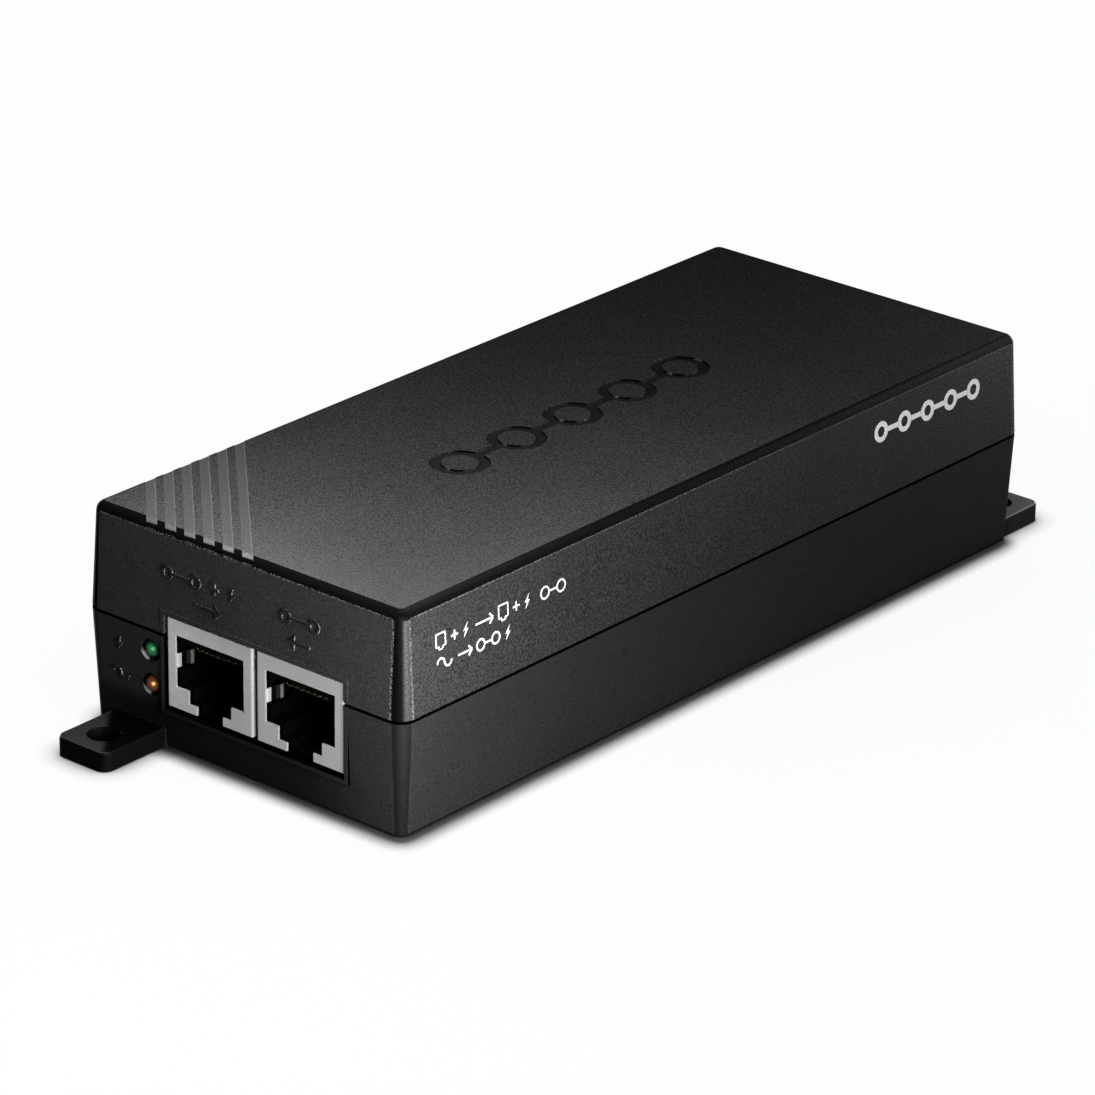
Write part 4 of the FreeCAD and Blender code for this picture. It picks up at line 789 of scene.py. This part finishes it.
def floor_material():
    """A pale floor with a painted contact shadow close to the object's foot. It throws little light back at
    the object.
    """
    g = Graph("floor")
    coords, _ = g.place()
    haze = g.noise(coords, 0.6, 2.0)
    colour = g.blend(g.ramp(haze, 0.3, 0.7), (0.90, 0.90, 0.90), (0.92, 0.92, 0.92))
    # The contact shadow is painted into the floor's colour from an ambient occlusion node.
    open_sky = g.add("ShaderNodeAmbientOcclusion", {"Distance": CONTACT_SHADE}, samples=8).outputs["AO"]
    colour = g.blend(g.ramp(open_sky, 0.42, 0.95, smooth=False), CONTACT_SHADOW_GREY, colour)
    pale = g.add("ShaderNodeBsdfDiffuse", {"Color": colour}).outputs[0]
    dim = g.add("ShaderNodeBsdfDiffuse", {"Color": BOUNCE_GREY}).outputs[0]
    seen = g.add("ShaderNodeLightPath").outputs["Is Camera Ray"]
    mixed = g.add("ShaderNodeMixShader", {0: seen, 1: dim, 2: pale})
    out = g.add("ShaderNodeOutputMaterial")
    g.tree.links.new(mixed.outputs[0], out.inputs[0])
    return g.material


def add_floor():
    size = FLOOR_SIZE
    points = [(-size, -size, 0), (size, -size, 0), (size, size, 0), (-size, size, 0)]
    mesh = bpy.data.meshes.new("floor")
    mesh.from_pydata(points, [], [(0, 1, 2, 3)])
    floor = bpy.data.objects.new("floor", mesh)
    floor.location.z = -FLOOR_DROP
    floor.data.materials.append(floor_material())
    bpy.context.scene.collection.objects.link(floor)
    return floor


def add_world():
    """A soft dome. It is dark in glossy surfaces, and to the camera it is about as white as the floor."""
    world = bpy.data.worlds.new("studio")
    world.use_nodes = True
    tree = world.node_tree
    tree.nodes.clear()
    path = tree.nodes.new("ShaderNodeLightPath")
    dome, cards, backdrop = [tree.nodes.new("ShaderNodeBackground") for _ in range(3)]
    for background, tone in ((dome, DOME), (cards, CARDS), (backdrop, BACKDROP)):
        background.inputs["Color"].default_value = (tone, tone, tone, 1.0)
    glossy = tree.nodes.new("ShaderNodeMixShader")
    tree.links.new(path.outputs["Is Glossy Ray"], glossy.inputs[0])
    tree.links.new(dome.outputs[0], glossy.inputs[1])
    tree.links.new(cards.outputs[0], glossy.inputs[2])
    seen = tree.nodes.new("ShaderNodeMixShader")
    tree.links.new(path.outputs["Is Camera Ray"], seen.inputs[0])
    tree.links.new(glossy.outputs[0], seen.inputs[1])
    tree.links.new(backdrop.outputs[0], seen.inputs[2])
    out = tree.nodes.new("ShaderNodeOutputWorld")
    tree.links.new(seen.outputs[0], out.inputs[0])
    bpy.context.scene.world = world


# Lights for the object alone, as (name, place in mm, radius in mm, power in W).
OBJECT_LIGHTS = [
    ("front_corner", (80, -100, 30), 20, 0.79),
    ("side", (80, -60, 30), 20, 0.06),
    ("top_front", (-10, -65, 72), 20, 0.212),
    ("top_left", (-30, -70, 72), 20, 0.055),
    ("top_side", (25, -40, 72), 20, 0.088),
    ("top_right", (40, -20, 72), 20, 0.048),
    ("top_middle", (30, 10, 90), 20, 0.033),
    ("rear_corner", (40, 140, 70), 20, 0.13),
    ("rear_side", (60, 120, 30), 20, 0.05),
    ("left", (-100, 0, 120), 20, 0.015),
    ("left_wall", (-230, -10, 1), 3, 2.6),
    ("rear_wall", (-20, 230, 1), 3, 0.85),
]

# The light for the floor alone.
SUN_DIRECTION = (0.06, -0.06, -1.0)
SUN_STRENGTH = 2.93
SUN_WIDTH = 8.0


def light_only(lamp, receivers):
    """Lets the lamp light only these objects. All objects still cast its shadows."""
    collection = bpy.data.collections.new(lamp.name + "_receivers")
    for receiver in receivers:
        collection.objects.link(receiver)
    lamp.light_linking.receiver_collection = collection


def add_ball_light(name, place, radius, power, receivers):
    """A soft round light. place is in millimetres."""
    data = bpy.data.lights.new(name, "POINT")
    data.shadow_soft_size = radius * MM
    data.energy = power
    lamp = bpy.data.objects.new(name, data)
    lamp.location = Vector(place) * MM
    lamp.visible_camera = False
    bpy.context.scene.collection.objects.link(lamp)
    light_only(lamp, receivers)


def add_overhead(receivers):
    """A wide light from above, for the white floor and the short soft shadow at the object's foot."""
    data = bpy.data.lights.new("overhead", "SUN")
    data.energy = SUN_STRENGTH
    data.angle = math.radians(SUN_WIDTH)
    sun = bpy.data.objects.new("overhead", data)
    sun.rotation_euler = Vector(SUN_DIRECTION).to_track_quat("-Z", "Y").to_euler()
    bpy.context.scene.collection.objects.link(sun)
    light_only(sun, receivers)


def add_lights(floor, marks):
    product = list(frame["nodes"].values()) + marks
    add_overhead([floor])
    for name, place, radius, power in OBJECT_LIGHTS:
        add_ball_light(name, place, radius, power, product)


# The view: how far round and above the object the camera stands, and how the object sits in the view.
VIEW_AZIMUTH = math.radians(40.223)
VIEW_ELEVATION = math.radians(23.495)
VIEW_ROLL = math.radians(0.749)
VIEW_DISTANCE = 827.37 * MM
VIEW_OFFSET = (3.205 * MM, -11.311 * MM)
LENS, SENSOR = 185.44, 36.0


def add_camera():
    az, el, roll = VIEW_AZIMUTH, VIEW_ELEVATION, VIEW_ROLL
    back = Vector((math.sin(az) * math.cos(el), -math.cos(az) * math.cos(el), math.sin(el)))
    level = Vector((math.cos(az), math.sin(az), 0.0))
    upright = back.cross(level)
    right = level * math.cos(roll) + upright * math.sin(roll)
    up = upright * math.cos(roll) - level * math.sin(roll)
    data = bpy.data.cameras.new("camera")
    data.lens = LENS
    data.sensor_width = SENSOR
    data.clip_start = 0.05
    camera = bpy.data.objects.new("camera", data)
    matrix = Matrix((right, up, back)).transposed().to_4x4()
    matrix.translation = back * VIEW_DISTANCE - right * VIEW_OFFSET[0] - up * VIEW_OFFSET[1]
    camera.matrix_world = matrix
    bpy.context.scene.collection.objects.link(camera)
    bpy.context.scene.camera = camera


def set_stage(marks):
    floor = add_floor()
    add_world()
    add_lights(floor, marks)
    add_camera()
    bpy.context.scene.view_settings.view_transform = "Standard"


dress_nodes()
set_stage(add_marks())
